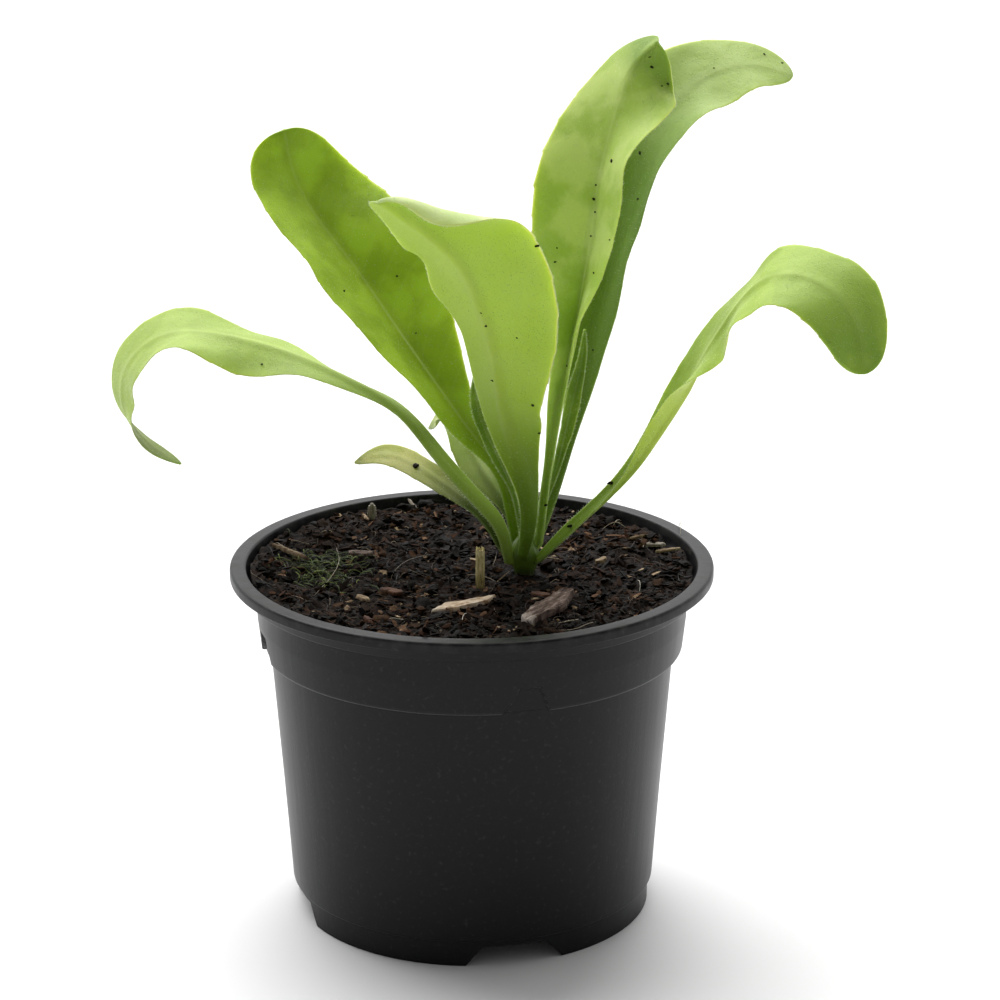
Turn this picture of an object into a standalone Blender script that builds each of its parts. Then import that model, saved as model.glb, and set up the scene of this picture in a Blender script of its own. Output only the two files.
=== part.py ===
"""A young pot marigold in a round nursery pot.

Metres, +Z up. The origin is on the pot's axis, on the surface that the pot stands on. The front of the
plant faces -Y. Lengths are written in millimetres times MM, and angles in degrees.
"""

import math

import bmesh
import bpy
import numpy as np
from mathutils import Matrix, Vector

MM = 0.001
GAP = 0.3 * MM

# The pot, thin moulded plastic
RIM_RADIUS = 60 * MM
RIM_TOP = 89.2 * MM
RIM_INNER_RADIUS = 56 * MM
RIM_EDGE = 0.5 * MM
LIP_BOTTOM = 86.5 * MM
NECK_RADIUS = 57.2 * MM
NECK_FOOT_RADIUS = 56.4 * MM
COLLAR_TOP = 83.2 * MM
COLLAR_RADIUS = 53.4 * MM
COLLAR_FOOT_RADIUS = 52.5 * MM
LEDGE_HEIGHT = 68.4 * MM
LEDGE_DROP = 0.2 * MM
BODY_TOP_RADIUS = 50.3 * MM
BODY_MIDDLE = (47.5 * MM, 32 * MM)
BODY_FOOT_RADIUS = 45.7 * MM
BODY_FOOT_HEIGHT = 6.8 * MM
SKIRT_RADIUS = 44.6 * MM
SKIRT_WALL = 1.4 * MM
WALL = 1.2 * MM
FLOOR_HEIGHT = 5.4 * MM
POT_SIDES = 64

# Openings and recesses cut in the pot, each the same number of times round the axis
REPEATS = 4
FOOT_NOTCH_TURN = 13.5
FOOT_NOTCH_TOP = 5.1 * MM
FOOT_NOTCH_HALF = (12.6 * MM, 9.4 * MM)
LEDGE_NOTCH_TURN = 15
LEDGE_NOTCH_TOP = 74.8 * MM
LEDGE_NOTCH_HALF = (5 * MM, 2.6 * MM)
LEDGE_NOTCH_DEPTH = 1 * MM
DRAIN_HOLE_RADIUS = 4.5 * MM
DRAIN_HOLE_CIRCLE = 36 * MM

# The soil
SOIL_LEVEL = 85.4 * MM
SOIL_LUMP = 0.26 * MM
SOIL_MOUND = 0.3 * MM
SOIL_TILT = 0.01
SOIL_HEAP = 1.9 * MM
HEAP_FROM = 36 * MM
HEAP_TO = 53 * MM
SOIL_RINGS = 14

# The crown, where every leaf starts, and its taproot
CROWN_X = 13 * MM
CROWN_Y = 1 * MM
CROWN_TOP = 96 * MM
CROWN_SIDES = 16
ROOT_TIP = 51 * MM

# The straw that stands in the soil
STRAW_X = 2 * MM
STRAW_Y = -13 * MM
STRAW_RADIUS = 1.1 * MM
STRAW_BORE = 0.65 * MM
STRAW_BORE_DEPTH = 2 * MM
STRAW_FOOT = 80.4 * MM
STRAW_TOP = 97 * MM
STRAW_SIDES = 12

# The leaves
BLADE_THICKNESS = 0.7 * MM
KEEL_THICKNESS = 1.9 * MM
FOLD_ROUNDING = 2.6 * MM
WAVE_HEIGHT = 0.5 * MM
WAVE_LENGTH = 22 * MM
FACING = (0, -0.95, 0.3)


def paint(name, colour, roughness):
    """A Principled material with this colour and roughness."""
    material = bpy.data.materials.new(name)
    material.use_nodes = True
    shader = material.node_tree.nodes["Principled BSDF"]
    shader.inputs["Base Color"].default_value = (*colour, 1)
    shader.inputs["Roughness"].default_value = roughness
    shader.inputs["Metallic"].default_value = 0
    material.diffuse_color = (*colour, 1)
    return material


def piece(name, shape, material=None, sharp=40):
    """An object with this shape, its faces turned outwards and its round parts smooth."""
    bmesh.ops.recalc_face_normals(shape, faces=shape.faces)
    mesh = bpy.data.meshes.new(name)
    shape.to_mesh(mesh)
    shape.free()
    mesh.shade_smooth()
    mesh.set_sharp_from_angle(angle=math.radians(sharp))
    if material:
        mesh.materials.append(material)
    item = bpy.data.objects.new(name, mesh)
    bpy.context.scene.collection.objects.link(item)
    return item


def cut(item, name, shape):
    """Takes the shape's volume out of the item."""
    tool = piece(name, shape)
    tool.hide_render = True
    tool.display_type = "WIRE"
    modifier = item.modifiers.new(name, "BOOLEAN")
    modifier.operation = "DIFFERENCE"
    modifier.solver = "EXACT"
    modifier.object = tool


def turned(profile, sides, centre=(0, 0)):
    """A solid of revolution; its profile of (radius, height) starts and ends on the axis."""
    shape = bmesh.new()
    corners = [shape.verts.new((centre[0] + radius, centre[1], height)) for radius, height in profile]
    edges = [shape.edges.new(pair) for pair in zip(corners, corners[1:])]
    bmesh.ops.spin(
        shape, geom=corners + edges, cent=(*centre, 0), axis=(0, 0, 1), angle=math.tau, steps=sides, use_merge=True
    )
    bmesh.ops.remove_doubles(shape, verts=shape.verts, dist=0.001 * MM)
    return shape


def wedges(first_turn, radii, heights, half_widths):
    """Radial blocks round the axis, whose width changes from their bottom to their top."""
    shape = bmesh.new()
    for number in range(REPEATS):
        turn = Matrix.Rotation(math.radians(first_turn + number * 360 / REPEATS), 4, "Z")
        corners = []
        for radius in radii:
            for height, half in zip(heights, half_widths):
                corners += [shape.verts.new(turn @ Vector((radius, side, height))) for side in (-half, half)]
        bmesh.ops.convex_hull(shape, input=corners)
    return shape


def rods(first_turn, circle, radius, top):
    """Upright rods that stand on a circle round the axis."""
    shape = bmesh.new()
    for number in range(REPEATS):
        turn = Matrix.Rotation(math.radians(first_turn + number * 360 / REPEATS), 4, "Z")
        place = turn @ Matrix.Translation((circle, 0, top / 2))
        bmesh.ops.create_cone(
            shape, cap_ends=True, segments=16, radius1=radius, radius2=radius, depth=top, matrix=place
        )
    return shape


def sheet(shape, rows):
    """Fills a grid of corners with triangles, their diagonals all one way."""
    for near, far in zip(rows, rows[1:]):
        for column in range(len(near) - 1):
            shape.faces.new((near[column], near[column + 1], far[column + 1]))
            shape.faces.new((near[column], far[column + 1], far[column]))


# Radii and heights down the wall's outer face: the collar above the ledge, then the body
COLLAR_FACE = [
    (COLLAR_RADIUS, COLLAR_TOP - LEDGE_DROP),
    (COLLAR_RADIUS, LEDGE_HEIGHT + 8 * MM),
    (COLLAR_FOOT_RADIUS, LEDGE_HEIGHT),
]
BODY_FACE = [
    (BODY_TOP_RADIUS, LEDGE_HEIGHT - LEDGE_DROP),
    BODY_MIDDLE,
    (BODY_FOOT_RADIUS, BODY_FOOT_HEIGHT),
]


def inner_face(clearance):
    """Radii and heights up the inside of the wall, this far in from it."""
    shift = WALL + clearance
    (neck, neck_height), middle, (step, step_height) = COLLAR_FACE
    ledge, waist, _ = BODY_FACE
    return [
        (BODY_FOOT_RADIUS - shift, FLOOR_HEIGHT + shift),
        (waist[0] - shift, waist[1] + clearance),
        (ledge[0] - shift, ledge[1] + clearance),
        (step - shift, step_height + shift),
        (middle[0] - shift, middle[1] + clearance),
        (neck - shift, neck_height + clearance),
        (RIM_INNER_RADIUS - RIM_EDGE - clearance, LIP_BOTTOM),
    ]


def make_pot(plastic):
    """The round pot: one wall with a ledge for stacking, a flanged rim, a raised floor and a notched foot."""
    rim = [
        (RIM_INNER_RADIUS, RIM_TOP - RIM_EDGE),
        (RIM_INNER_RADIUS + RIM_EDGE, RIM_TOP),
        (RIM_RADIUS - RIM_EDGE, RIM_TOP),
        (RIM_RADIUS, RIM_TOP - RIM_EDGE),
        (RIM_RADIUS, LIP_BOTTOM),
        (NECK_RADIUS, LIP_BOTTOM),
        (NECK_FOOT_RADIUS, COLLAR_TOP),
    ]
    foot = [
        (SKIRT_RADIUS, BODY_FOOT_HEIGHT - LEDGE_DROP),
        (SKIRT_RADIUS, 0),
        (SKIRT_RADIUS - SKIRT_WALL, 0),
        (SKIRT_RADIUS - SKIRT_WALL, FLOOR_HEIGHT),
    ]
    wall = inner_face(0) + rim + COLLAR_FACE + BODY_FACE + foot
    pot = piece("pot", turned([(0, FLOOR_HEIGHT + WALL), *wall, (0, FLOOR_HEIGHT)], POT_SIDES), plastic)
    beyond = RIM_RADIUS
    inside = SKIRT_RADIUS - 5 * SKIRT_WALL
    notches = wedges(FOOT_NOTCH_TURN, (inside, beyond), (-FOOT_NOTCH_TOP, FOOT_NOTCH_TOP), FOOT_NOTCH_HALF)
    cut(pot, "foot_notch_cutter", notches)
    recess = COLLAR_RADIUS - LEDGE_NOTCH_DEPTH
    notches = wedges(LEDGE_NOTCH_TURN, (recess, beyond), (LEDGE_HEIGHT - WALL, LEDGE_NOTCH_TOP), LEDGE_NOTCH_HALF)
    cut(pot, "ledge_notch_cutter", notches)
    holes = rods(FOOT_NOTCH_TURN, DRAIN_HOLE_CIRCLE, DRAIN_HOLE_RADIUS, 3 * FLOOR_HEIGHT)
    cut(pot, "drain_hole_cutter", holes)


def soil_height(x, y):
    """Height of the soil's lumpy top: lower toward the back right, heaped round the crown and at the wall."""
    u, v = x / (10 * MM), y / (10 * MM)
    lumps = (
        math.sin(2.1 * u + 0.7 * v)
        + math.sin(-1.3 * u + 2.6 * v + 1.0)
        + 0.8 * math.sin(3.9 * u - 1.7 * v + 2.2)
        + 0.6 * math.sin(4.6 * v + 2.9 * u)
    )
    near_crown = math.exp(-((x - CROWN_X) ** 2 + (y - CROWN_Y) ** 2) / (18 * MM) ** 2)
    near_wall = min(max((math.hypot(x, y) - HEAP_FROM) / (HEAP_TO - HEAP_FROM), 0), 1)
    heaps = SOIL_MOUND * near_crown + SOIL_HEAP * near_wall**2 - SOIL_TILT * (x + y)
    return SOIL_LEVEL + heaps + SOIL_LUMP * lumps * (1 - 0.6 * near_crown)


def root_face(clearance):
    """Radii and heights up the taproot to the widest part of the crown, this far out from it."""
    face = [(0.9, 52), (1.4, 60), (2, 74), (2.4, 82), (2.7, 86.6)]
    return [(radius * MM + clearance, height * MM - clearance) for radius, height in face]


def make_soil(earth):
    """The block of potting soil that fills the pot, with plain holes for the crown and the straw."""
    wall = inner_face(GAP)
    (low_radius, low), (high_radius, high) = wall[-2:]
    turns = [math.tau * side / POT_SIDES for side in range(POT_SIDES)]
    shape = bmesh.new()
    rings = []
    for radius, height in wall[:-1]:
        ring = [(radius * math.cos(turn), radius * math.sin(turn), height) for turn in turns]
        rings.append([shape.verts.new(point) for point in ring])
    for ring in range(SOIL_RINGS):
        rings.append([])
        for turn in turns:
            top = soil_height(high_radius * math.cos(turn), high_radius * math.sin(turn))
            edge = low_radius + (high_radius - low_radius) * min((top - low) / (high - low), 1)
            radius = (edge - GAP) * (1 - ring / SOIL_RINGS)
            x, y = radius * math.cos(turn), radius * math.sin(turn)
            rings[-1].append(shape.verts.new((x, y, soil_height(x, y) if ring else top)))
    closed_rings = [ring + ring[:1] for ring in rings]
    sheet(shape, closed_rings)
    bottom = shape.verts.new((0, 0, wall[0][1]))
    middle = shape.verts.new((0, 0, soil_height(0, 0)))
    for centre, ring in ((bottom, closed_rings[0]), (middle, closed_rings[-1])):
        for pair in zip(ring, ring[1:]):
            shape.faces.new((centre, *pair))
    soil = piece("soil", shape, earth, sharp=80)
    face = root_face(GAP)
    well = [(0, ROOT_TIP - GAP), *face, (face[-1][0], CROWN_TOP), (0, CROWN_TOP)]
    cut(soil, "crown_well_cutter", turned(well, CROWN_SIDES, (CROWN_X, CROWN_Y)))
    hole = STRAW_RADIUS + GAP
    bore = [(0, STRAW_FOOT - GAP), (hole, STRAW_FOOT - GAP), (hole, STRAW_TOP), (0, STRAW_TOP)]
    cut(soil, "straw_well_cutter", turned(bore, STRAW_SIDES, (STRAW_X, STRAW_Y)))


def make_crown(green):
    """The short stem that the leaves grow from, with its taproot down in the soil."""
    neck = [(3.7 * MM, 88.3 * MM), (3.5 * MM, 89.5 * MM), (2.4 * MM, 92 * MM), (1.5 * MM, 94.8 * MM)]
    profile = [(0, ROOT_TIP), *root_face(0), *neck, (0, CROWN_TOP)]
    piece("crown", turned(profile, CROWN_SIDES, (CROWN_X, CROWN_Y)), green)


def make_straw(dry):
    """A cut straw, hollow at the top."""
    profile = [
        (0, STRAW_FOOT),
        (STRAW_RADIUS, STRAW_FOOT),
        (STRAW_RADIUS, STRAW_TOP),
        (STRAW_BORE, STRAW_TOP),
        (STRAW_BORE, STRAW_TOP - STRAW_BORE_DEPTH),
        (0, STRAW_TOP - STRAW_BORE_DEPTH),
    ]
    piece("straw_stub", turned(profile, STRAW_SIDES, (STRAW_X, STRAW_Y)), dry)


def make_chip(name, centre, turn, outline, thickness, material, tilt=0):
    """A scrap with this outline round its centre, all in millimetres, lying just clear of the soil's lumps."""
    place = Matrix.Translation((centre[0] * MM, centre[1] * MM, 0))
    place = place @ Matrix.Rotation(math.radians(turn), 4, "Z") @ Matrix.Rotation(math.radians(-tilt), 4, "Y")
    corners = [place @ Vector((along * MM, over * MM, 0)) for along, over in outline]
    middle = place @ Vector()
    tests = [middle.lerp(corner, share) for corner in corners for share in (0, 0.25, 0.5, 0.75, 1)]
    lift = max(soil_height(test.x, test.y) - test.z for test in tests) + GAP
    shape = bmesh.new()
    flat = shape.faces.new([shape.verts.new(corner + Vector((0, 0, lift))) for corner in corners])
    grown = bmesh.ops.extrude_face_region(shape, geom=[flat])["geom"]
    upper = [item for item in grown if isinstance(item, bmesh.types.BMVert)]
    bmesh.ops.translate(shape, verts=upper, vec=(0, 0, thickness * MM))
    piece(name, shape, material)


def spline(values, places):
    """A natural cubic spline through the rows of values, which stand at 0, 1, 2 and so on, read at the places."""
    rows = np.array(values, float)
    count = len(rows)
    system = np.eye(count)
    target = np.zeros_like(rows)
    for row in range(1, count - 1):
        system[row, row - 1 : row + 2] = (1, 4, 1)
        target[row] = 6 * (rows[row - 1] - 2 * rows[row] + rows[row + 1])
    bend = np.linalg.solve(system, target)
    low = np.clip(np.floor(places).astype(int), 0, count - 2)
    part = (places - low)[:, None]
    rest = 1 - part
    line = rest * rows[low] + part * rows[low + 1]
    return line + ((rest**3 - rest) * bend[low] + (part**3 - part) * bend[low + 1]) / 6


def unit(vectors):
    return vectors / np.linalg.norm(vectors, axis=-1, keepdims=True)


def half_width(leaf, along):
    """Half the blade's width at these shares of the leaf's length: stalk, swelling blade, rounded tip."""
    rise = np.clip((along - leaf["blade_from"]) / (leaf["widest_at"] - leaf["blade_from"]), 0, 1)
    rise = rise * rise * (3 - 2 * rise)
    fall = np.clip((along - leaf["widest_at"]) / (1 - leaf["widest_at"]), 0, 1)
    swelling = leaf["stalk"] + (leaf["half_width"] - leaf["stalk"]) * rise
    rounding = leaf["half_width"] * (1 - fall ** leaf["bluntness"]) ** leaf["roundness"]
    foot = 0.65 + 0.35 * np.clip(along / 0.08, 0, 1)
    return np.where(along > leaf["widest_at"], np.maximum(rounding, 0.4), swelling * foot)


def leaf_surface(leaf, rows, columns):
    """Points of a blade's middle as a grid from left margin to right margin, in mm, with its normals, its half
    widths, and how hollow its front is: 1 where it folds forwards round the midrib, 0 where it folds back.

    Each station gives a midrib point, how far the left and the right half lift towards the front out of the
    plane that faces it, and how much more each has turned by its margin, in degrees.
    """
    stations = np.array([station + (0,) * (7 - len(station)) for station in leaf["stations"]], float)
    fine = np.linspace(0, len(stations) - 1, 400)
    steps = np.linalg.norm(np.diff(spline(stations[:, :3], fine), axis=0), axis=1)
    run = np.concatenate([[0], np.cumsum(steps)])
    share = np.linspace(0, 1, rows)
    along = share * (1.6 - 0.6 * share)
    places = np.interp(along * run[-1], run, fine)
    midrib = spline(stations[:, :3], places)
    nudge = 0.001
    ahead = spline(stations[:, :3], np.minimum(places + nudge, len(stations) - 1))
    behind = spline(stations[:, :3], np.maximum(places - nudge, 0))
    forward = unit(ahead - behind)
    rightward = unit(np.cross(forward, unit(np.array(FACING, float))))
    frontward = np.cross(rightward, forward)
    turns = np.radians(spline(stations[:, 3:], places))
    width = half_width(leaf, along)
    across = np.linspace(0, 1, columns)
    blade_share = np.clip((width - leaf["stalk"]) / leaf["half_width"], 0, 1)
    fold = 0.5 * (np.cos(turns[:, 1]) - np.cos(turns[:, 0]))[:, None] * rightward
    fold += 0.5 * (np.sin(turns[:, 1]) + np.sin(turns[:, 0]))[:, None] * frontward
    round_to = np.minimum(width, FOLD_ROUNDING / MM)[:, None]
    rounding = np.maximum(round_to - across * width[:, None], 0) ** 2 / (2 * round_to)
    halves = []
    for side, sign in enumerate((-1, 1)):
        lift = turns[:, side : side + 1] + turns[:, side + 2 : side + 3] * across
        lean, rear = np.cos(lift)[..., None], np.sin(lift)[..., None]
        course = sign * rightward[:, None] * lean + frontward[:, None] * rear
        spans = 0.5 * (course[:, 1:] + course[:, :-1]) / (columns - 1)
        offsets = np.concatenate([np.zeros((rows, 1, 3)), np.cumsum(spans, axis=1)], axis=1)
        upright = frontward[:, None] * lean - sign * rightward[:, None] * rear
        ripple = np.sin(math.tau * along * run[-1] / (WAVE_LENGTH / MM) + leaf["phase"] + 2 * side)
        lift_by = (WAVE_HEIGHT / MM * blade_share * ripple)[:, None] * across**2
        half = midrib[:, None] + offsets * width[:, None, None] + upright * lift_by[..., None]
        halves.append(half + fold[:, None] * rounding[..., None])
    grid = np.concatenate([halves[0][:, ::-1], halves[1][:, 1:]], axis=1)
    down = np.gradient(grid, axis=0)
    over = np.gradient(grid, axis=1)
    normals = unit(np.cross(over, down))
    hollow_front = 0.5 + 0.5 * np.clip((turns[:, 0] + turns[:, 1]) / math.radians(50), -1, 1)
    return grid, normals, width, hollow_front


def make_leaf(name, leaf, green):
    """A blade of even thickness with a thicker midrib and stalk, split into triangles alike on both faces."""
    grid, normals, width, hollow_front = leaf_surface(leaf, leaf["rows"], leaf["columns"])
    rows, columns = grid.shape[:2]
    side_steps = leaf["columns"] - 1
    from_rib = np.abs(np.arange(columns) - side_steps) / side_steps * width[:, None]
    stalk_width = leaf["stalk"] * 1.3
    rib = np.clip(1 - from_rib / stalk_width, 0, 1) * np.clip(width / stalk_width, 0, 1)[:, None]
    thin = BLADE_THICKNESS / MM
    swell = (leaf["keel"] - thin) * rib * np.linspace(1, 0.2, rows)[:, None]
    front = grid + normals * (thin / 2 + swell * (1 - hollow_front[:, None]))[..., None]
    back = grid - normals * (thin / 2 + swell * hollow_front[:, None])[..., None]
    shape = bmesh.new()
    faces = [[[shape.verts.new(point * MM) for point in row] for row in side] for side in (front, back)]
    for face in faces:
        sheet(shape, face)
    near, far = faces
    for end in (0, -1):
        sheet(shape, [near[end], far[end]])
        sheet(shape, [[row[end] for row in near], [row[end] for row in far]])
    piece(name, shape, green, sharp=50)


def leaf_form(half_width, stalk, blade_from, widest_at, stations, **changes):
    """The values of one leaf, in millimetres and degrees, with those that most leaves share."""
    form = {
        "half_width": half_width,
        "stalk": stalk,
        "blade_from": blade_from,
        "widest_at": widest_at,
        "bluntness": 2.6,
        "roundness": 0.5,
        "keel": KEEL_THICKNESS / MM,
        "phase": 0,
        "rows": 27,
        "columns": 4,
        "stations": stations,
    }
    form.update(changes)
    return form


LEAVES = {
    "leaf_far_left": leaf_form(
        14, 2.1, 0.27, 0.64,
        [
            (9.3, -2, 89.5, 30, -30),
            (7, -1.5, 98.4, 30, -30),
            (1.7, 0, 105, 30, -30),
            (-8.1, 4, 115.4, 35, -30),
            (-17.4, 11, 124.4, 50, -45),
            (-28.7, 17, 130.1, 53, -84),
            (-41, 24, 134.1, 52, -81),
            (-53.8, 30, 137.2, 39, -77),
            (-66.8, 35, 138.3, 70, -72),
            (-78.6, 39, 136.5, 63, -57),
            (-87.6, 42, 129.1, 64, -65),
            (-90.1, 43, 119.7, 65, -69),
            (-87.9, 42, 112.5, 86, -88),
            (-82.5, 40, 106.9, 102, -104),
            (-74.9, 37, 103.2, 110, -110),
        ],
        bluntness=2.0, roundness=0.7, rows=32,
    ),
    "leaf_upper_left": leaf_form(
        19.5, 2.1, 0.10, 0.70,
        [
            (11, 4.6, 92.2, 45, 45),
            (7.5, 6, 108.8, 50, 40),
            (1.4, 9, 117.8, 38, 38),
            (-7.3, 14, 128.2, 58, 23),
            (-18.3, 21, 142.3, 61, 0),
            (-29, 28, 156.5, 62, 0),
            (-38.3, 33, 167.7, 62, -19),
            (-44.3, 36, 178.3, 51, -30),
            (-46.5, 35, 190.7, 20, -40),
        ],
        phase=1.5,
    ),
    "leaf_front": leaf_form(
        20.5, 2.2, 0.08, 0.72,
        [
            (12.6, -2.8, 91.4, -30, -30),
            (14, -6, 105.6, -20, -20),
            (10.8, -10, 120.8, -44, 0),
            (7.3, -15, 133.6, -63, 42),
            (4.9, -21, 148.9, -65, 38),
            (1.6, -26, 161.1, -66, 31),
            (-3.7, -30, 172.4, -74, 23, 0, 14),
            (-12.6, -34, 181.4, -82, 0, 0, 150),
            (-21, -38, 188.1, -88, 0, 0, 130),
        ],
        columns=5, phase=0.5,
    ),
    "leaf_tall": leaf_form(
        17, 2.0, 0.12, 0.70,
        [
            (16.5, 1.6, 93.2, 50, 60),
            (18.6, 3, 109.2, 55, 70),
            (22, 4, 129.4, 48, 83),
            (26.1, 6, 147.9, 46, 99, 0, -20),
            (29.4, 8, 167.5, -10, 72),
            (31.6, 10, 183.2, -20, 74),
            (34.7, 12, 197, -42, 57),
            (38.4, 13, 209, -62, 6),
            (44.6, 10, 216.8, -80, -30),
        ],
        bluntness=2.8, phase=2.5,
    ),
    "leaf_rear_right": leaf_form(
        15, 2.0, 0.12, 0.70,
        [
            (15.6, 3.7, 91.2, 0, 60),
            (22, 9, 108.6, 0, 60),
            (27, 12, 128.4, -10, 53),
            (31.9, 16, 146.6, -15, 66),
            (37.4, 21, 165.7, -20, 77),
            (43.1, 26, 180.2, -20, 80),
            (47.6, 30.5, 191.5, -22, 68),
            (55.5, 35.4, 201.2, -27, 49),
            (68.5, 39.4, 205.8, -43, 48),
            (80.5, 40, 203.1, -52, 48),
        ],
        bluntness=2.2, phase=4,
    ),
    "leaf_right": leaf_form(
        14, 1.8, 0.10, 0.72,
        [
            (16.7, -0.9, 90, -20, 50),
            (26.6, -5, 101.3, -20, 60),
            (37.3, -10, 112.9, -30, 110),
            (44.2, -14, 123.5, -44, 128),
            (50.3, -18, 135.1, -54, 122),
            (54.6, -22, 145.3, -70, 100),
            (58.8, -26, 155.4, -83, 76),
            (63.3, -30, 163.6, -83, 79),
            (70.1, -35, 170.1, -63, 61),
            (78.7, -41, 170.6, -51, 41),
            (85.3, -45, 165.5, -34, 35),
            (88.7, -47, 158, -34, 29),
            (90.3, -48, 150.2, -30, 20),
        ],
        rows=32, phase=5,
    ),
    "leaf_low_left": leaf_form(
        6, 1.7, 0.25, 0.60,
        [
            (8.7, 1.7, 90, 30, -30),
            (4.1, 3.5, 97.8, 40, -35),
            (-3.7, 7, 104.1, 55, -45),
            (-12.1, 11, 108.9, 60, -50),
            (-20.8, 14, 112.2, 62, -50),
            (-29.3, 16, 109.8, 60, -50),
        ],
        bluntness=2.0, roundness=0.7, rows=16, columns=3,
    ),
    "leaf_low_rear": leaf_form(
        6, 1.5, 0.15, 0.60,
        [
            (12.9, 5.4, 89.6, 20, -20),
            (8.3, 10, 100.8, 20, -20),
            (2.1, 15, 109.2, 20, -20),
            (-2.4, 21, 116.8, 50, -30),
            (-6.5, 26, 119.1, 66, -50),
            (-10.8, 30, 114.7, 60, -60),
        ],
        bluntness=2.0, roundness=0.7, rows=14, columns=3,
    ),
    "leaf_young_left": leaf_form(
        3.2, 0.9, 0.20, 0.60,
        [
            (12.3, 1, 96.2, 50, 50),
            (10, 1, 107.2, 50, 50),
            (5, 2, 118.5, 50, 50),
            (1.6, 2, 127.5, 50, 50),
            (0.9, 1, 137.7, 50, 50),
        ],
        bluntness=2.0, roundness=0.7, keel=1.2, rows=12, columns=3,
    ),
    "leaf_young_right": leaf_form(
        3, 0.9, 0.20, 0.60,
        [
            (13.9, 1.7, 95.4, 50, 50),
            (20.2, 7, 107.9, 50, 50),
            (23.9, 8, 123.2, 50, 50),
            (26.8, 9, 135.7, 50, 50),
            (27.9, 9, 146.1, 50, 50),
        ],
        bluntness=2.0, roundness=0.7, keel=1.2, rows=12, columns=3,
    ),
}

for leftover in list(bpy.data.objects):
    bpy.data.objects.remove(leftover)

make_pot(paint("black_plastic", (0.03, 0.03, 0.032), 0.4))
make_soil(paint("potting_soil", (0.045, 0.025, 0.016), 0.95))
make_crown(paint("stem_green", (0.12, 0.22, 0.03), 0.5))
for leaf_name, leaf in LEAVES.items():
    make_leaf(leaf_name, leaf, paint(leaf_name + "_green", (0.22, 0.42, 0.05), 0.5))
make_straw(paint("dry_straw", (0.42, 0.30, 0.13), 0.8))
splinter = [(-9.5, -1), (-4.5, 1.8), (9.5, 1.5), (6, -1.4), (-4, -2.6)]
make_chip("wood_splinter", (-1.9, -26), 29, splinter, 1, paint("pale_wood", (0.45, 0.28, 0.16), 0.8))
bark = [(-11, -3), (-9.5, 0.6), (-2, 3.4), (9.5, 3.2), (11, 0.4), (2, -4)]
make_chip("bark_chip", (18, -31.5), 50, bark, 1.6, paint("bark", (0.14, 0.08, 0.05), 0.9), tilt=4)
flake = [(-1.2, -0.4), (-1, 0.4), (1.2, 0.5), (1, -0.4)]
make_chip("pale_flake", (-26, 41.8), 10, flake, 4.8, paint("dry_flake", (0.42, 0.34, 0.26), 0.9))
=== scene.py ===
import math

import bmesh
import bpy
import numpy as np
from mathutils import Matrix, Vector, noise


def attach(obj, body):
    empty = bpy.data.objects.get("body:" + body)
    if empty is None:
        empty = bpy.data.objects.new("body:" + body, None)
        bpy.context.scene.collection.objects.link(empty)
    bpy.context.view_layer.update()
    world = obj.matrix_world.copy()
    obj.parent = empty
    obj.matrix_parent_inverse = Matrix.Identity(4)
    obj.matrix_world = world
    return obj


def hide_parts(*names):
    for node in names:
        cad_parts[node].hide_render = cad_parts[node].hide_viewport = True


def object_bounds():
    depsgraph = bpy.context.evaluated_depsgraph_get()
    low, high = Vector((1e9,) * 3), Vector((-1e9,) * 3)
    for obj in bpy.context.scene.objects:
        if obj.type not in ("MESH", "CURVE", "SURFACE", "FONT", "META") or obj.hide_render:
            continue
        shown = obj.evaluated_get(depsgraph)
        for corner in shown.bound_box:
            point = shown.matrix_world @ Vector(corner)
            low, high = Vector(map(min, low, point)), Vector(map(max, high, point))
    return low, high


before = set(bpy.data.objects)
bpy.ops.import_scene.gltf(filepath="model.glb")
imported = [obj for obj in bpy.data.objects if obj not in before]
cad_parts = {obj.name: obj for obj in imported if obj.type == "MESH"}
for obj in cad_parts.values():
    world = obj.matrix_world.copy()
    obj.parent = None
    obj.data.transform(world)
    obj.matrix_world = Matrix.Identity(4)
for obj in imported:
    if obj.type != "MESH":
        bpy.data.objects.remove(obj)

BOX = [list(corner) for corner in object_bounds()]
MM = 0.001

# The viewpoint of the photograph: a long lens three quarters of a metre in front of the pot and a little
# above it, looking down. The picture is square.
SENSOR_WIDTH = 36
FOCAL_LENGTH = 116.81
VIEWPOINT = (0, -763.3 * MM, 347.4 * MM)
LOOKING_DOWN = 17.62
TURNED_RIGHT = 0.524

camera = bpy.data.objects.new("camera", bpy.data.cameras.new("camera"))
camera.data.sensor_width = SENSOR_WIDTH
camera.data.lens = FOCAL_LENGTH
camera.data.clip_start = 0.05
camera.data.clip_end = 40
camera.location = VIEWPOINT
camera.rotation_euler = (math.radians(90 - LOOKING_DOWN), 0, -math.radians(TURNED_RIGHT))
bpy.context.scene.collection.objects.link(camera)
bpy.context.scene.camera = camera


# The studio: a white table top and soft light. A bright white backdrop stands behind the plant and a wide
# lamp hangs above and a little behind it, while the room in front is dim.
FLOOR_REACH = 6
BACKDROP_LIGHT = 1.25
ROOM_LIGHT = 0.2
LAMP_STRENGTH = 3.7
LAMP_SOFTNESS = 60
LAMP_TILT_BACK = 30
LAMP_TILT_LEFT = 10
# The backdrop fades in as a direction turns away from the viewer, from the first of these to the second
BACKDROP_FADE = (-0.45, 0.75)


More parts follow.
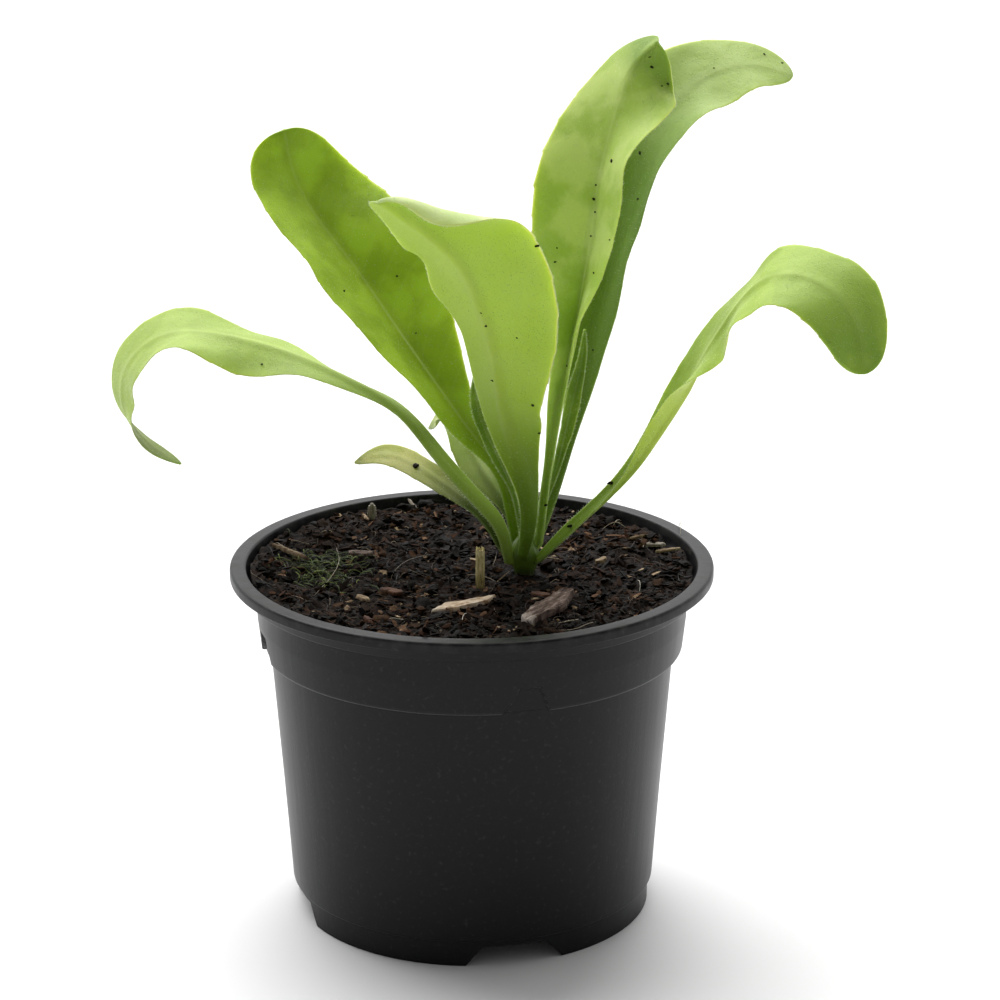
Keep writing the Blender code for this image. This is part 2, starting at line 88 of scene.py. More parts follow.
class Socket:
    """An output of a material's nodes. Arithmetic on it adds Math nodes."""

    def __init__(self, tree, output=None):
        self.tree = tree
        self.output = output

    def node(self, kind, settings=None, inputs=None, output=0):
        """Adds a node, sets it up, feeds its sockets with values or links, and gives one of its outputs."""
        made = self.tree.nodes.new("ShaderNode" + kind)
        for name, value in (settings or {}).items():
            if name == "stops":
                while len(made.color_ramp.elements) < len(value):
                    made.color_ramp.elements.new(1)
                for element, (place, colour) in zip(made.color_ramp.elements, value):
                    element.position = place
                    element.color = (*colour, 1)
            else:
                setattr(made, name, value)
        feed(self.tree, made, inputs or {})
        return Socket(self.tree, chosen(made.outputs, output))

    def maths(self, operation, first, second):
        return self.node("Math", {"operation": operation}, {0: first, 1: second})

    def __add__(self, other):
        return self.maths("ADD", self, other)

    def __radd__(self, other):
        return self.maths("ADD", other, self)

    def __sub__(self, other):
        return self.maths("SUBTRACT", self, other)

    def __rsub__(self, other):
        return self.maths("SUBTRACT", other, self)

    def __mul__(self, other):
        return self.maths("MULTIPLY", self, other)

    def __rmul__(self, other):
        return self.maths("MULTIPLY", other, self)

    def __truediv__(self, other):
        return self.maths("DIVIDE", self, other)


def chosen(sockets, key):
    """One of a node's sockets, by its number or its identifier."""
    return sockets[key] if isinstance(key, int) else next(s for s in sockets if s.identifier == key)


def feed(tree, node, inputs):
    """Gives the node's sockets their values or links."""
    for key, value in inputs.items():
        socket = chosen(node.inputs, key)
        if isinstance(value, Socket):
            tree.links.new(value.output, socket)
        elif isinstance(value, tuple) and len(value) == 3 and socket.type == "RGBA":
            socket.default_value = (*value, 1)
        else:
            socket.default_value = value


def finish(name):
    """A new material, its Principled shader, and a start for its other nodes."""
    material = bpy.data.materials.new(name)
    material.use_nodes = True
    tree = material.node_tree
    return material, tree.nodes["Principled BSDF"], Socket(tree)


def smooth_step(value, low, high):
    """Rises smoothly from 0 where the value is low to 1 where it is high."""
    inputs = {"Value": value, 1: low, 2: high}
    return value.node("MapRange", {"interpolation_type": "SMOOTHSTEP"}, inputs, "Result")


def blend(factor, low, high):
    """A colour between two, by the factor."""
    start = next(item for item in (factor, low, high) if isinstance(item, Socket))
    inputs = {"Factor_Float": factor, "A_Color": low, "B_Color": high}
    return start.node("Mix", {"data_type": "RGBA"}, inputs, "Result_Color")


def grain(start, size, detail=2, stretch=None):
    """Noise from 0 to 1 whose lumps are about this big, in metres."""
    place = start.node("TexCoord", output="Object")
    if stretch:
        place = start.node("Mapping", {"vector_type": "POINT"}, {"Vector": place, "Scale": stretch})
    return start.node("TexNoise", {}, {"Vector": place, "Scale": 1 / size, "Detail": detail}, "Fac")


def bumps(height, distance, strength=1, below=None):
    """A normal that the height raises by the distance, in metres."""
    inputs = {"Height": height, "Distance": distance, "Strength": strength}
    if below:
        inputs["Normal"] = below
    return height.node("Bump", {}, inputs, "Normal")


def table_top():
    material, shader, start = finish("table_white")
    white = blend(grain(start, 0.4), (0.86, 0.86, 0.86), (0.89, 0.89, 0.89))
    feed(start.tree, shader, {"Base Color": white, "Roughness": 0.7, "Specular IOR Level": 0.1})
    corners = [(x * FLOOR_REACH, y * FLOOR_REACH, 0) for x, y in ((-1, -1), (1, -1), (1, 1), (-1, 1))]
    mesh = bpy.data.meshes.new("table_top")
    mesh.from_pydata(corners, [], [(0, 1, 2, 3)])
    mesh.materials.append(material)
    floor = bpy.data.objects.new("table_top", mesh)
    bpy.context.scene.collection.objects.link(floor)


def studio_light():
    world = bpy.data.worlds.new("studio")
    world.use_nodes = True
    start = Socket(world.node_tree)
    way = start.node("TexCoord", output="Generated")
    behind = start.node("SeparateXYZ", {}, {"Vector": way}, "Y")
    light = blend(smooth_step(behind, *BACKDROP_FADE), (ROOM_LIGHT,) * 3, (BACKDROP_LIGHT,) * 3)
    feed(world.node_tree, world.node_tree.nodes["Background"], {"Color": light})
    bpy.context.scene.world = world
    lamp = bpy.data.lights.new("wide_lamp", "SUN")
    lamp.energy = LAMP_STRENGTH
    lamp.angle = math.radians(LAMP_SOFTNESS)
    holder = bpy.data.objects.new("wide_lamp", lamp)
    holder.rotation_euler = (-math.radians(LAMP_TILT_BACK), -math.radians(LAMP_TILT_LEFT), 0)
    bpy.context.scene.collection.objects.link(holder)
    bpy.context.scene.view_settings.view_transform = "Standard"


table_top()
studio_light()


# The pot: thin black polypropylene, injection moulded in one piece, with a flat rim folded over outwards, a
# collar that ends in a ledge so that pots stack, a tapering body, a raised floor with drain holes and a
# notched foot ring that it stands on.
POT_SIDES = 200
NOTCH_REPEATS = 4
FOOT_NOTCH_TURN = 13.5
FOOT_NOTCH_TOP = 5.1 * MM
FOOT_NOTCH_HALF = (16.3 * MM, 8.1 * MM)
RECESS_TURN = 15
RECESS_FOOT = 68.3 * MM
RECESS_TOP = 74.8 * MM
RECESS_HALF = (5 * MM, 2.6 * MM)
RECESS_DEPTH = 1 * MM
RECESS_EDGE = 0.3 * MM
RECESS_FLARE = 2 * MM
RECESS_WALL_RADIUS = 52.9 * MM
# How far to both sides of a recess the pot's points stand close together, in radians
RECESS_REACH = (-0.17, 0.13)
DRAIN_HOLE_RADIUS = 4.5 * MM
DRAIN_HOLE_CIRCLE = 36 * MM
# The raised floor's lower and upper side, in millimetres
POT_FLOOR, POT_FLOOR_TOP = 5.4, 6.6
# Radius, height and how round the corner is, in millimetres: up the inside, then down the outside
POT_PROFILE = [
    (44.5, POT_FLOOR_TOP, 1.5), (46.3, 32, 0), (49.1, 68.2, 1.2), (51.3, 69.6, 1.2), (52.2, 76.4, 0),
    (52.2, 83, 1.5), (55.4, 86, 0.8), (56, 89.2, 0.6), (60, 89.2, 0.9), (60, 86.5, 0.35), (57.2, 86.5, 0.5),
    (56.4, 83.2, 0.3), (53.4, 83, 0.3), (53.4, 76.4, 0), (52.5, 68.4, 0.45), (50.3, 68.2, 0.3), (47.5, 32, 0),
    (45.7, 6.8, 0.5), (44.6, 6.6, 0.2), (44.6, 0, 0.25), (43.2, 0, 0.25), (43.2, POT_FLOOR, 0.5),
]
# Steps between a wall's points, in millimetres: fine outside this radius and between these heights
FINE_STEP, COARSE_STEP = 0.5, 6
LEDGE_INNER = 50
LEDGE_BAND = (66, 78)
# Where a pale line is painted along the ledge's edge: a painted highlight
LEDGE_EDGE = 68.5 * MM
LEDGE_HIGHLIGHT_REACH = 0.4 * MM
LEDGE_RADIUS = 51.6 * MM
# The recesses and the painted edge highlight lie outside this radius, and the foot's notches reach between
# these two
OUTSIDE_RADIUS = 50.5 * MM
NOTCH_RADII = (37 * MM, 60 * MM)


def rounded(corners, steps=5):
    """A path through corners of (across, up, roundness) that turns each one in an arc."""
    points = [Vector(corner[:2]) for corner in corners]
    path = [points[0]]
    for before, here, after, (_, _, roundness) in zip(points, points[1:], points[2:], corners[1:]):
        if not roundness:
            path.append(here)
            continue
        back, ahead = (here - before).length, (after - here).length
        reach = min(roundness, 0.45 * back, 0.45 * ahead)
        start, end = here.lerp(before, reach / back), here.lerp(after, reach / ahead)
        for step in range(steps + 1):
            share = step / steps
            path.append(start.lerp(here, share).lerp(here.lerp(end, share), share))
    return path + [points[-1]]


def shaped(name, points, faces, material, sharp=None, **values):
    """A smooth piece with these points in metres. The values, a list for each kind, go to its material."""
    mesh = bpy.data.meshes.new(name)
    faces = faces.tolist() if isinstance(faces, np.ndarray) else faces
    mesh.from_pydata(np.array([tuple(point) for point in points]).tolist(), [], faces)
    mesh.shade_smooth()
    if sharp:
        mesh.set_sharp_from_angle(angle=math.radians(sharp))
    for kind, numbers in values.items():
        kept = mesh.attributes.new(kind, "FLOAT", "POINT")
        kept.data.foreach_set("value", np.asarray(numbers, np.float32))
    mesh.materials.append(material)
    item = bpy.data.objects.new(name, mesh)
    bpy.context.scene.collection.objects.link(item)
    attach(item, "root")
    return item


def woven(rows, columns, first=0):
    """Faces between rows of points that run round a piece."""
    down, over = np.meshgrid(np.arange(rows - 1), np.arange(columns), indexing="ij")
    here = first + down * columns + over
    beside = first + down * columns + (over + 1) % columns
    return np.stack([here, beside, beside + columns, here + columns], axis=-1).reshape(-1, 4)


def round_axis(radius, height, turns):
    """Rows of points, each at its distance from an upright axis and its height, at these turns round it."""
    return np.stack([radius * np.cos(turns), radius * np.sin(turns), height + 0 * turns], axis=-1)


def fanned(rings, first, last, turned=False):
    """Points and faces through rows of points, closed by a point before the first row and after the last."""
    rows, columns = rings.shape[:2]
    order = -1 if turned else 1
    faces = woven(rows, columns)[:, ::order].tolist()
    count, final = rows * columns, (rows - 1) * columns
    for side in range(columns):
        one, two = ((side + 1) % columns, side)[::order]
        faces.append((count, one, two))
        faces.append((count + 1, final + two, final + one))
    return [*rings.reshape(-1, 3), first, last], faces


def attribute(start, name):
    """What a piece's points keep under this name."""
    return start.node("Attribute", {"attribute_name": name}, output="Fac")


def height_in(start):
    """Height over the ground, in metres."""
    return start.node("SeparateXYZ", {}, {"Vector": start.node("TexCoord", output="Object")}, "Z")


def pot_plastic():
    material, shader, start = finish("black_polypropylene")
    cloud = grain(start, 0.03, 4)
    dust = smooth_step(grain(start, 0.0012, 6), 0.56, 0.78)
    # Paler, rougher patches round the rim's top: partly scuffs, partly a painted highlight where the rim top
    # catches the light from above
    rim_scuffs_and_highlight = smooth_step(height_in(start), 0.0855, 0.0895) * smooth_step(grain(start, 0.004, 5), 0.4, 0.7)
    flow = grain(start, 0.004, 3, (1, 1, 0.08))
    plastic = blend(cloud, (0.0062, 0.0062, 0.0072), (0.0095, 0.0095, 0.0108))
    dust_and_rim_highlight = blend(dust * 0.25 + rim_scuffs_and_highlight * 0.45, plastic, (0.05, 0.048, 0.045))
    feed(start.tree, shader, {
        # Painted highlight: a pale line along the ledge's edge and round the outline of each recess
        "Base Color": blend(attribute(start, "worn") * 0.6, dust_and_rim_highlight, (0.075, 0.075, 0.077)),
        "Roughness": 0.27 + 0.1 * cloud + 0.06 * flow + 0.12 * rim_scuffs_and_highlight,
        "Specular IOR Level": 0.14,
        "Normal": bumps(flow, 0.00006, 1, bumps(grain(start, 0.0005), 0.00002)),
    })
    return material


def recess_depth(turns, heights):
    """How far in the wall is pushed by the recesses at the ledge, 0 to 1."""
    depth = np.zeros(np.broadcast(turns, heights).shape)
    share = np.clip((heights - RECESS_FOOT) / (RECESS_TOP - RECESS_FOOT), 0, 1)
    half = (RECESS_HALF[0] + (RECESS_HALF[1] - RECESS_HALF[0]) * share) / RECESS_WALL_RADIUS
    flare = RECESS_FLARE * (1 - share) ** 3 / RECESS_WALL_RADIUS
    edge = RECESS_EDGE / RECESS_WALL_RADIUS
    top = np.clip((RECESS_TOP - heights) / RECESS_EDGE, 0, 1)
    for number in range(NOTCH_REPEATS):
        middle = math.radians(RECESS_TURN + number * 360 / NOTCH_REPEATS)
        off = (turns - middle + math.pi) % math.tau - math.pi
        side = np.clip((half + flare * (off < 0) - np.abs(off)) / edge + 0.5, 0, 1)
        depth = np.maximum(depth, side * side * (3 - 2 * side) * top)
    return depth


def open_foot(item):
    """Cuts the foot's notches and the floor's drain holes, repeated round the axis."""
    shape = bmesh.new()
    for number in range(NOTCH_REPEATS):
        turn = Matrix.Rotation(math.radians(FOOT_NOTCH_TURN + number * 360 / NOTCH_REPEATS), 4, "Z")
        corners = []
        for radius in NOTCH_RADII:
            for height, half in zip((-FOOT_NOTCH_TOP, FOOT_NOTCH_TOP), FOOT_NOTCH_HALF):
                for side in (-half, half):
                    corners.append(shape.verts.new(turn @ Vector((radius, side, height))))
        bmesh.ops.convex_hull(shape, input=corners)
        place = turn @ Matrix.Translation((DRAIN_HOLE_CIRCLE, 0, POT_FLOOR * MM))
        size = {"radius1": DRAIN_HOLE_RADIUS, "radius2": DRAIN_HOLE_RADIUS, "depth": 2 * POT_FLOOR * MM}
        bmesh.ops.create_cone(shape, cap_ends=True, segments=40, matrix=place, **size)
    bmesh.ops.recalc_face_normals(shape, faces=shape.faces)
    mesh = bpy.data.meshes.new("opening_tool")
    shape.to_mesh(mesh)
    shape.free()
    tool = bpy.data.objects.new("opening_tool", mesh)
    bpy.context.scene.collection.objects.link(tool)
    cut = item.modifiers.new("openings", "BOOLEAN")
    cut.operation = "DIFFERENCE"
    cut.solver = "EXACT"
    cut.object = tool
    bpy.context.view_layer.update()
    done = bpy.data.meshes.new_from_object(item.evaluated_get(bpy.context.evaluated_depsgraph_get()))
    item.modifiers.clear()
    item.data = done
    bpy.data.objects.remove(tool)


def make_pot():
    path = rounded([(0, POT_FLOOR_TOP, 0), *POT_PROFILE, (0, POT_FLOOR, 0)])
    lines = []
    for start, end in zip(path, path[1:]):
        length = (end - start).length
        at_ledge = LEDGE_BAND[0] < start.y < LEDGE_BAND[1] and start.x > LEDGE_INNER
        is_wall = abs(start.x - end.x) < 5 and length > 4
        steps = max(1, round(length / (FINE_STEP if at_ledge else COARSE_STEP))) if is_wall else 1
        lines += [start.lerp(end, step / steps) for step in range(steps)]
    profile = np.array([*lines, path[-1]])[1:-1] * MM
    turns = set(np.linspace(0, math.tau, POT_SIDES, endpoint=False).round(5))
    for number in range(NOTCH_REPEATS):
        middle = math.radians(RECESS_TURN + number * 360 / NOTCH_REPEATS)
        turns |= set((np.linspace(*RECESS_REACH, 65) + middle).round(5) % math.tau)
    turns = np.array(sorted(turns))
    radius, height = profile[:, :1], profile[:, 1:]
    outside = (radius > OUTSIDE_RADIUS) & (np.arange(len(profile))[:, None] > np.argmax(profile[:, 1]))
    recess = recess_depth(turns, height) * outside * (height < RECESS_TOP)
    radius = radius - RECESS_DEPTH * recess
    # A painted highlight: a pale band at the ledge's edge and along the recesses' outlines
    on_edge = np.clip(1 - np.abs(height - LEDGE_EDGE) / LEDGE_HIGHLIGHT_REACH, 0, 1) * (radius > LEDGE_RADIUS)
    worn = np.maximum(on_edge * (1 - recess), 4 * recess * (1 - recess)) * outside
    above, below = (0, 0, POT_FLOOR_TOP * MM), (0, 0, POT_FLOOR * MM)
    points, faces = fanned(round_axis(radius, height, turns), above, below, True)
    pot = shaped("moulded_pot", points, faces, pot_plastic(), worn=[*worn.ravel(), 0, 0])
    open_foot(pot)
    pot.data.shade_smooth()
    pot.data.set_sharp_from_angle(angle=math.radians(35))
    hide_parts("pot")


make_pot()


# The soil: damp peat compost, filled in loose and settled a few millimetres under the rim. Crumbs of peat
# lie on it with slivers of bark and wood, thin pale rootlets, and a tuft of moss at the left.
SOIL_LEVEL = 85.4 * MM
SOIL_LUMP = 0.26 * MM
SOIL_MOUND = 0.3 * MM
MOUND_REACH = 18 * MM
SOIL_TILT = 0.01
SOIL_HEAP = 1.9 * MM
HEAP_FROM = 36 * MM
HEAP_TO = 53 * MM
SOIL_REACH = 54.9 * MM
SOIL_RING_STEP = 0.45 * MM
SOIL_TURNS = 300
# Height and size of the surface's coarse and fine lumps
COARSE_LUMPS = (1.1 * MM, 5 * MM)
FINE_LUMPS = (0.5 * MM, 1.6 * MM)
# Radius and height down the inside of the pot, then the height of its floor, in millimetres
SOIL_SIDE = [(51.7, 82.6), (51.7, 76.4), (50.8, 70), (48.7, 68.4), (45.9, 32), (44.1, 7.3)]
CROWN_X, CROWN_Y = 13 * MM, 1 * MM
CROWN_CLEARANCE = 4.6 * MM
MOSS_PLACE = (-36.9 * MM, 2.2 * MM, 86 * MM)
MOSS_SPREAD = (4.6 * MM, 6 * MM)
CRUMB_FORMS = 12
# Name, how many, least and greatest size in millimetres, how finely divided, how far sunk in, as a share
CRUMBS = [
    ("fine_peat_crumbs", 5600, 0.4, 1.2, 1, 0.1), ("coarse_peat_crumbs", 700, 1.2, 3, 2, 0.02),
    ("bark_chunks", 210, 2, 4.6, 2, -0.02),
]
SLIVER_COUNT, FIBRE_COUNT, MOSS_COUNT = 1500, 620, 260
# How far out their middles are strewn and how far out their ends may reach, in millimetres
CRUMB_REACH, CRUMB_WALL = 54.4, 55.1
SLIVER_REACH, SLIVER_WALL = 53, 55
FIBRE_REACH, FIBRE_WALL = 52, 54.8
SEED = 11
chance = np.random.default_rng(SEED)


def soil_top(x, y):
    """Height of the soil's gentle heaps, which rise to the wall and fall a little toward the back right."""
    u, v = x / (10 * MM), y / (10 * MM)
    lumps = np.sin(2.1 * u + 0.7 * v) + np.sin(-1.3 * u + 2.6 * v + 1.0)
    lumps = lumps + 0.8 * np.sin(3.9 * u - 1.7 * v + 2.2) + 0.6 * np.sin(4.6 * v + 2.9 * u)
    near_crown = np.exp(-((x - CROWN_X) ** 2 + (y - CROWN_Y) ** 2) / MOUND_REACH**2)
    near_wall = np.clip((np.hypot(x, y) - HEAP_FROM) / (HEAP_TO - HEAP_FROM), 0, 1)
    heaps = SOIL_MOUND * near_crown + SOIL_HEAP * near_wall**2 - SOIL_TILT * (x + y)
    return SOIL_LEVEL + heaps + SOIL_LUMP * lumps * (1 - 0.6 * near_crown)


def rough(x, y, size, octaves=4):
    """Uneven heights round 0 at these points, with lumps about this big."""
    places = zip(np.ravel(x) / size, np.ravel(y) / size)
    return np.array([noise.fractal((u, v, 0.3), 0.8, 2.1, octaves) for u, v in places]).reshape(np.shape(x))


def bed_height(x, y):
    """Height of the soil's top with its lumps."""
    coarse = COARSE_LUMPS[0] * rough(x, y, COARSE_LUMPS[1])
    return soil_top(x, y) + coarse + FINE_LUMPS[0] * rough(x + 1, y, FINE_LUMPS[1], 2)


def ramp(tone, colours):
    """The colour at this tone along a row of (tone, colour)."""
    return tone.node("ValToRGB", {"stops": colours}, {"Fac": tone}, "Color")


def compost():
    material, shader, start = finish("peat_compost")
    tone = grain(start, 0.0022, 6)
    peat = ramp(tone, [(0.3, (0.0015, 0.001, 0.0006)), (0.5, (0.0055, 0.0033, 0.002)),
                       (0.62, (0.017, 0.008, 0.0042)), (0.75, (0.05, 0.024, 0.012))])
    peat = blend(smooth_step(grain(start, 0.009, 3), 0.5, 0.66) * 0.5, peat, (0.022, 0.009, 0.005))
    place = start.node("TexCoord", output="Object")
    off = start.node("VectorMath", {"operation": "DISTANCE"}, {0: place, 1: MOSS_PLACE}, "Value")
    green = (1 - smooth_step(off, 0.004, 0.011)) * smooth_step(grain(start, 0.0015, 4), 0.45, 0.6)
    feed(start.tree, shader, {
        "Base Color": blend(green * 0.7, peat, (0.03, 0.045, 0.008)),
        "Roughness": 0.6 + 0.3 * tone,
        "Specular IOR Level": 0.1,
        "Normal": bumps(grain(start, 0.0006, 5), 0.0004),
    })
    return material


def make_bed():
    radii = np.arange(SOIL_REACH, 0.2 * MM, -SOIL_RING_STEP)[:, None]
    turns = np.linspace(0, math.tau, SOIL_TURNS, endpoint=False)
    x, y = radii * np.cos(turns), radii * np.sin(turns)
    top = np.stack([x, y, bed_height(x, y)], axis=-1)
    radius, height = (np.array(SOIL_SIDE[::-1]) * MM).T[:, :, None]
    rows = np.concatenate([round_axis(radius, height, turns), top])
    points, faces = fanned(rows, (0, 0, SOIL_SIDE[-1][1] * MM), (0, 0, bed_height(0.0, 0.0)))
    bed = shaped("soil_bed", points, faces, compost())
    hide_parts("soil")


def lump(number, subdivisions):
    """Points and faces of an uneven crumb about 1 across."""
    shape = bmesh.new()
    bmesh.ops.create_icosphere(shape, subdivisions=subdivisions, radius=0.5)
    shift = Vector((number * 3.7, number * 1.9, 0))
    points = [corner.co * (1 + 0.8 * noise.noise(corner.co * 2.6 + shift)) for corner in shape.verts]
    faces = [[corner.index for corner in face.verts] for face in shape.faces]
    shape.free()
    return np.array(points), np.array(faces)


def random_turns(count, tilt):
    """Rotation matrices: any turn about the upright, a lean of up to about the tilt, and any turn again."""
    spins = []
    for reach, axis in ((math.pi, 2), (tilt, 0), (math.pi, 2)):
        angle = chance.uniform(-reach, reach, count)
        spin = np.zeros((count, 3, 3))
        one, two = (axis + 1) % 3, (axis + 2) % 3
        spin[:, axis, axis] = 1
        spin[:, one, one] = spin[:, two, two] = np.cos(angle)
        spin[:, two, one] = np.sin(angle)
        spin[:, one, two] = -np.sin(angle)
        spins.append(spin)
    return spins[0] @ spins[1] @ spins[2]


def spots(count, reach, clear=0):
    """Places spread over the soil, off the crown."""
    found = []
    while len(found) < count:
        x, y = chance.uniform(-reach, reach, 2)
        if math.hypot(x, y) < reach and math.hypot(x - CROWN_X, y - CROWN_Y) > CROWN_CLEARANCE + clear:
            found.append((x, y))
    return np.array(found)


def inside_wall(places, sizes, wall):
    """The places of pieces this big, moved in where one would cross the pot's wall, in millimetres."""
    out = np.linalg.norm(places, axis=1, keepdims=True)
    return places * np.minimum(1, (wall - sizes / 2)[:, None] * MM / out)


def strewn(name, places, sizes, material, tones, subdivisions=1, tilt=0.5):
    """Many crumbs in one piece, each with its own place, size along its three axes and tone."""
    turns = random_turns(len(places), tilt)
    points, faces, shades, first = [], [], [], 0
    for form in range(CRUMB_FORMS):
        corners, sides = lump(form, subdivisions)
        for place, size, turn, tone in list(zip(places, sizes, turns, tones))[form::CRUMB_FORMS]:
            points.append(corners * size @ turn.T + place)
            faces.append(sides + first)
            shades.append(np.full(len(corners), tone))
            first += len(corners)
    points, faces, shades = (np.concatenate(part) for part in (points, faces, shades))
    return shaped(name, points, faces, material, sharp=45, tone=shades)


def crumb_peat(name, colours, gloss=0.06):
    """Peat and bark crumbs, each with its own tone between these colours."""
    material, shader, start = finish(name)
    tone = attribute(start, "tone") + 0.35 * (grain(start, 0.0012, 5) - 0.5)
    feed(start.tree, shader, {
        "Base Color": ramp(tone, colours),
        "Roughness": 0.55 + 0.4 * tone,
        "Specular IOR Level": gloss,
        "Normal": bumps(grain(start, 0.0005, 4, (1, 1, 2.5)), 0.00025),
    })
    return material


def make_crumbs():
    peat = crumb_peat("peat_crumb", [(0, (0.0016, 0.0011, 0.0007)), (0.45, (0.0055, 0.0032, 0.0019)),
                                     (0.7, (0.020, 0.0098, 0.0052)), (0.88, (0.07, 0.038, 0.021)),
                                     (1, (0.25, 0.18, 0.11))])
    for name, count, low, high, subdivisions, sink in CRUMBS:
        size = low + (high - low) * chance.power(0.6, count)
        places = inside_wall(spots(count, CRUMB_REACH * MM, high / 2 * MM), size, CRUMB_WALL)
        height = bed_height(places[:, 0], places[:, 1]) + (0.12 - sink) * size * MM
        breadth, thickness = chance.uniform(0.45, 0.9, count), chance.uniform(0.3, 0.65, count)
        sizes = size[:, None] * MM * np.stack([np.ones(count), breadth, thickness], axis=1)
        tones = np.clip(chance.normal(0.38, 0.26, count), 0.02, 1)
        crumbs = strewn(name, np.column_stack([places, height]), sizes, peat, tones, subdivisions)
    slivers = crumb_peat("bark_sliver", [(0, (0.0016, 0.001, 0.0006)), (0.45, (0.010, 0.0046, 0.0026)),
                                         (0.75, (0.045, 0.02, 0.0105)), (0.92, (0.14, 0.08, 0.048)),
                                         (1, (0.40, 0.30, 0.2))])
    length = 1.6 + 5.4 * chance.power(0.5, SLIVER_COUNT)
    places = inside_wall(spots(SLIVER_COUNT, SLIVER_REACH * MM, 2.5 * MM), length, SLIVER_WALL)
    height = bed_height(places[:, 0], places[:, 1]) + 0.35 * MM
    breadth, thickness = chance.uniform(0.5, 2, SLIVER_COUNT), chance.uniform(0.25, 0.55, SLIVER_COUNT)
    sizes = MM * np.stack([length, breadth, thickness], axis=1)
    tones = np.clip(chance.normal(0.44, 0.27, SLIVER_COUNT), 0.02, 1)
    bark = strewn("bark_slivers", np.column_stack([places, height]), sizes, slivers, tones, 1, 0.9)


def closed(rows, columns, first=0):
    """Faces of a tube of points, with a flat face at either end."""
    start = list(range(first, first + columns))
    end = list(range(first + (rows - 1) * columns, first + rows * columns))
    return [*woven(rows, columns, first).tolist(), start[::-1], end]


def strands(name, paths, radii, tones, material, sides=4):
    """Thin strands in one piece, each along its row of points and tapering to both ends."""
    paths = np.asarray(paths, float)
    count, steps = paths.shape[:2]
    along = np.gradient(paths, axis=1)
    along /= np.linalg.norm(along, axis=-1, keepdims=True)
    side = np.cross(along, (0.13, 0.21, 0.97))
    side /= np.linalg.norm(side, axis=-1, keepdims=True)
    over = np.cross(side, along)
    taper = 0.3 + 0.7 * np.sin(np.linspace(0.05, 0.95, steps) * math.pi) ** 0.5
    width = (np.asarray(radii)[:, None] * taper)[..., None, None]
    angles = np.arange(sides) * math.tau / sides
    rings = side[:, :, None] * np.cos(angles)[:, None] + over[:, :, None] * np.sin(angles)[:, None]
    points = (paths[:, :, None] + width * rings).reshape(-1, 3)
    faces = []
    for strand in range(count):
        faces += closed(steps, sides, strand * steps * sides)
    return shaped(name, points, faces, material, tone=np.repeat(tones, steps * sides))


def laid(starts, headings, lengths, bends, rises, steps=9):
    """Paths over the soil that start here, head there, bend on the way and may arch off the ground."""
    share = np.linspace(0, 1, steps)
    heading = headings[:, None] + bends[:, None] * share
    step = lengths[:, None] / (steps - 1)
    x = starts[:, :1] + np.cumsum(step * np.cos(heading), axis=1)
    y = starts[:, 1:2] + np.cumsum(step * np.sin(heading), axis=1)
    out = np.maximum(1, np.hypot(x, y) / (FIBRE_WALL * MM))
    x, y = x / out, y / out
    ground = np.maximum(bed_height(x, y), soil_top(x, y))
    smooth = np.apply_along_axis(lambda row: np.interp(share, share[::3], row[::3]), 1, ground)
    height = np.maximum(ground, smooth) + 0.25 * MM + rises[:, None] * np.sin(share * math.pi)
    return np.stack([x, y, height], axis=-1)


def fibre_skin(name, colours):
    material, shader, start = finish(name)
    tone = attribute(start, "tone") + 0.4 * (grain(start, 0.002, 4) - 0.5)
    look = {"Base Color": ramp(tone, colours), "Roughness": 0.5 + 0.3 * tone, "Specular IOR Level": 0.3}
    feed(start.tree, shader, look)
    return material


def make_fibres():
    woody = fibre_skin("plant_fibre", [(0, (0.004, 0.003, 0.002)), (0.5, (0.018, 0.010, 0.006)),
                                       (0.8, (0.07, 0.045, 0.028)), (1, (0.34, 0.27, 0.19))])
    count = FIBRE_COUNT
    starts = spots(count, FIBRE_REACH * MM, 3 * MM)
    paths = laid(starts, chance.uniform(0, math.tau, count), MM * (2 + 8 * chance.power(0.5, count)),
                 chance.normal(0, 0.9, count), MM * chance.uniform(0, 0.9, count))
    radii = MM * chance.uniform(0.04, 0.13, count)
    fibres = strands("soil_fibres", paths, radii, np.clip(chance.normal(0.42, 0.26, count), 0, 1), woody)
    green = fibre_skin("moss_green", [(0, (0.012, 0.02, 0.004)), (0.5, (0.06, 0.09, 0.016)),
                                      (1, (0.24, 0.29, 0.08))])
    count = MOSS_COUNT
    starts = np.array(MOSS_PLACE[:2]) + chance.normal(0, 1, (count, 2)) * MOSS_SPREAD
    paths = laid(starts, chance.uniform(0, math.tau, count), MM * chance.uniform(1.2, 5.5, count),
                 chance.normal(0, 1.2, count), MM * chance.uniform(0.1, 1.3, count), 7)
    radii = MM * chance.uniform(0.06, 0.15, count)
    moss = strands("moss_tuft", paths, radii, np.clip(chance.normal(0.45, 0.25, count), 0, 1), green)


make_bed()
make_crumbs()
make_fibres()


# The larger scraps on the soil: a cut straw that stands in it, a pale splinter of wood, a chip of bark and
# a flake at the back. Among them lie small chips, twigs and shreds, and single rootlets that arch up.
STRAW_X, STRAW_Y = 2 * MM, -13 * MM
STRAW_RADIUS, STRAW_BORE = 1.1, 0.65
STRAW_FOOT, STRAW_TOP, STRAW_HOLLOW = 80.4, 97, 1.9
FLAKE_X, FLAKE_Y = -26, 41.8
FLAKE_HEIGHT, FLAKE_HALF_WIDTH, FLAKE_HALF_THICKNESS = 4.7, 1.2, 0.2
SCRAP_CLEARANCE = 0.3 * MM


def tube(name, rings, material, turned=False, **values):
    """A closed piece through rows of points that run round it, in metres."""
    faces = closed(*rings.shape[:2])
    if turned:
        faces = [face[::-1] for face in faces]
    return shaped(name, rings.reshape(-1, 3), faces, material, **values)


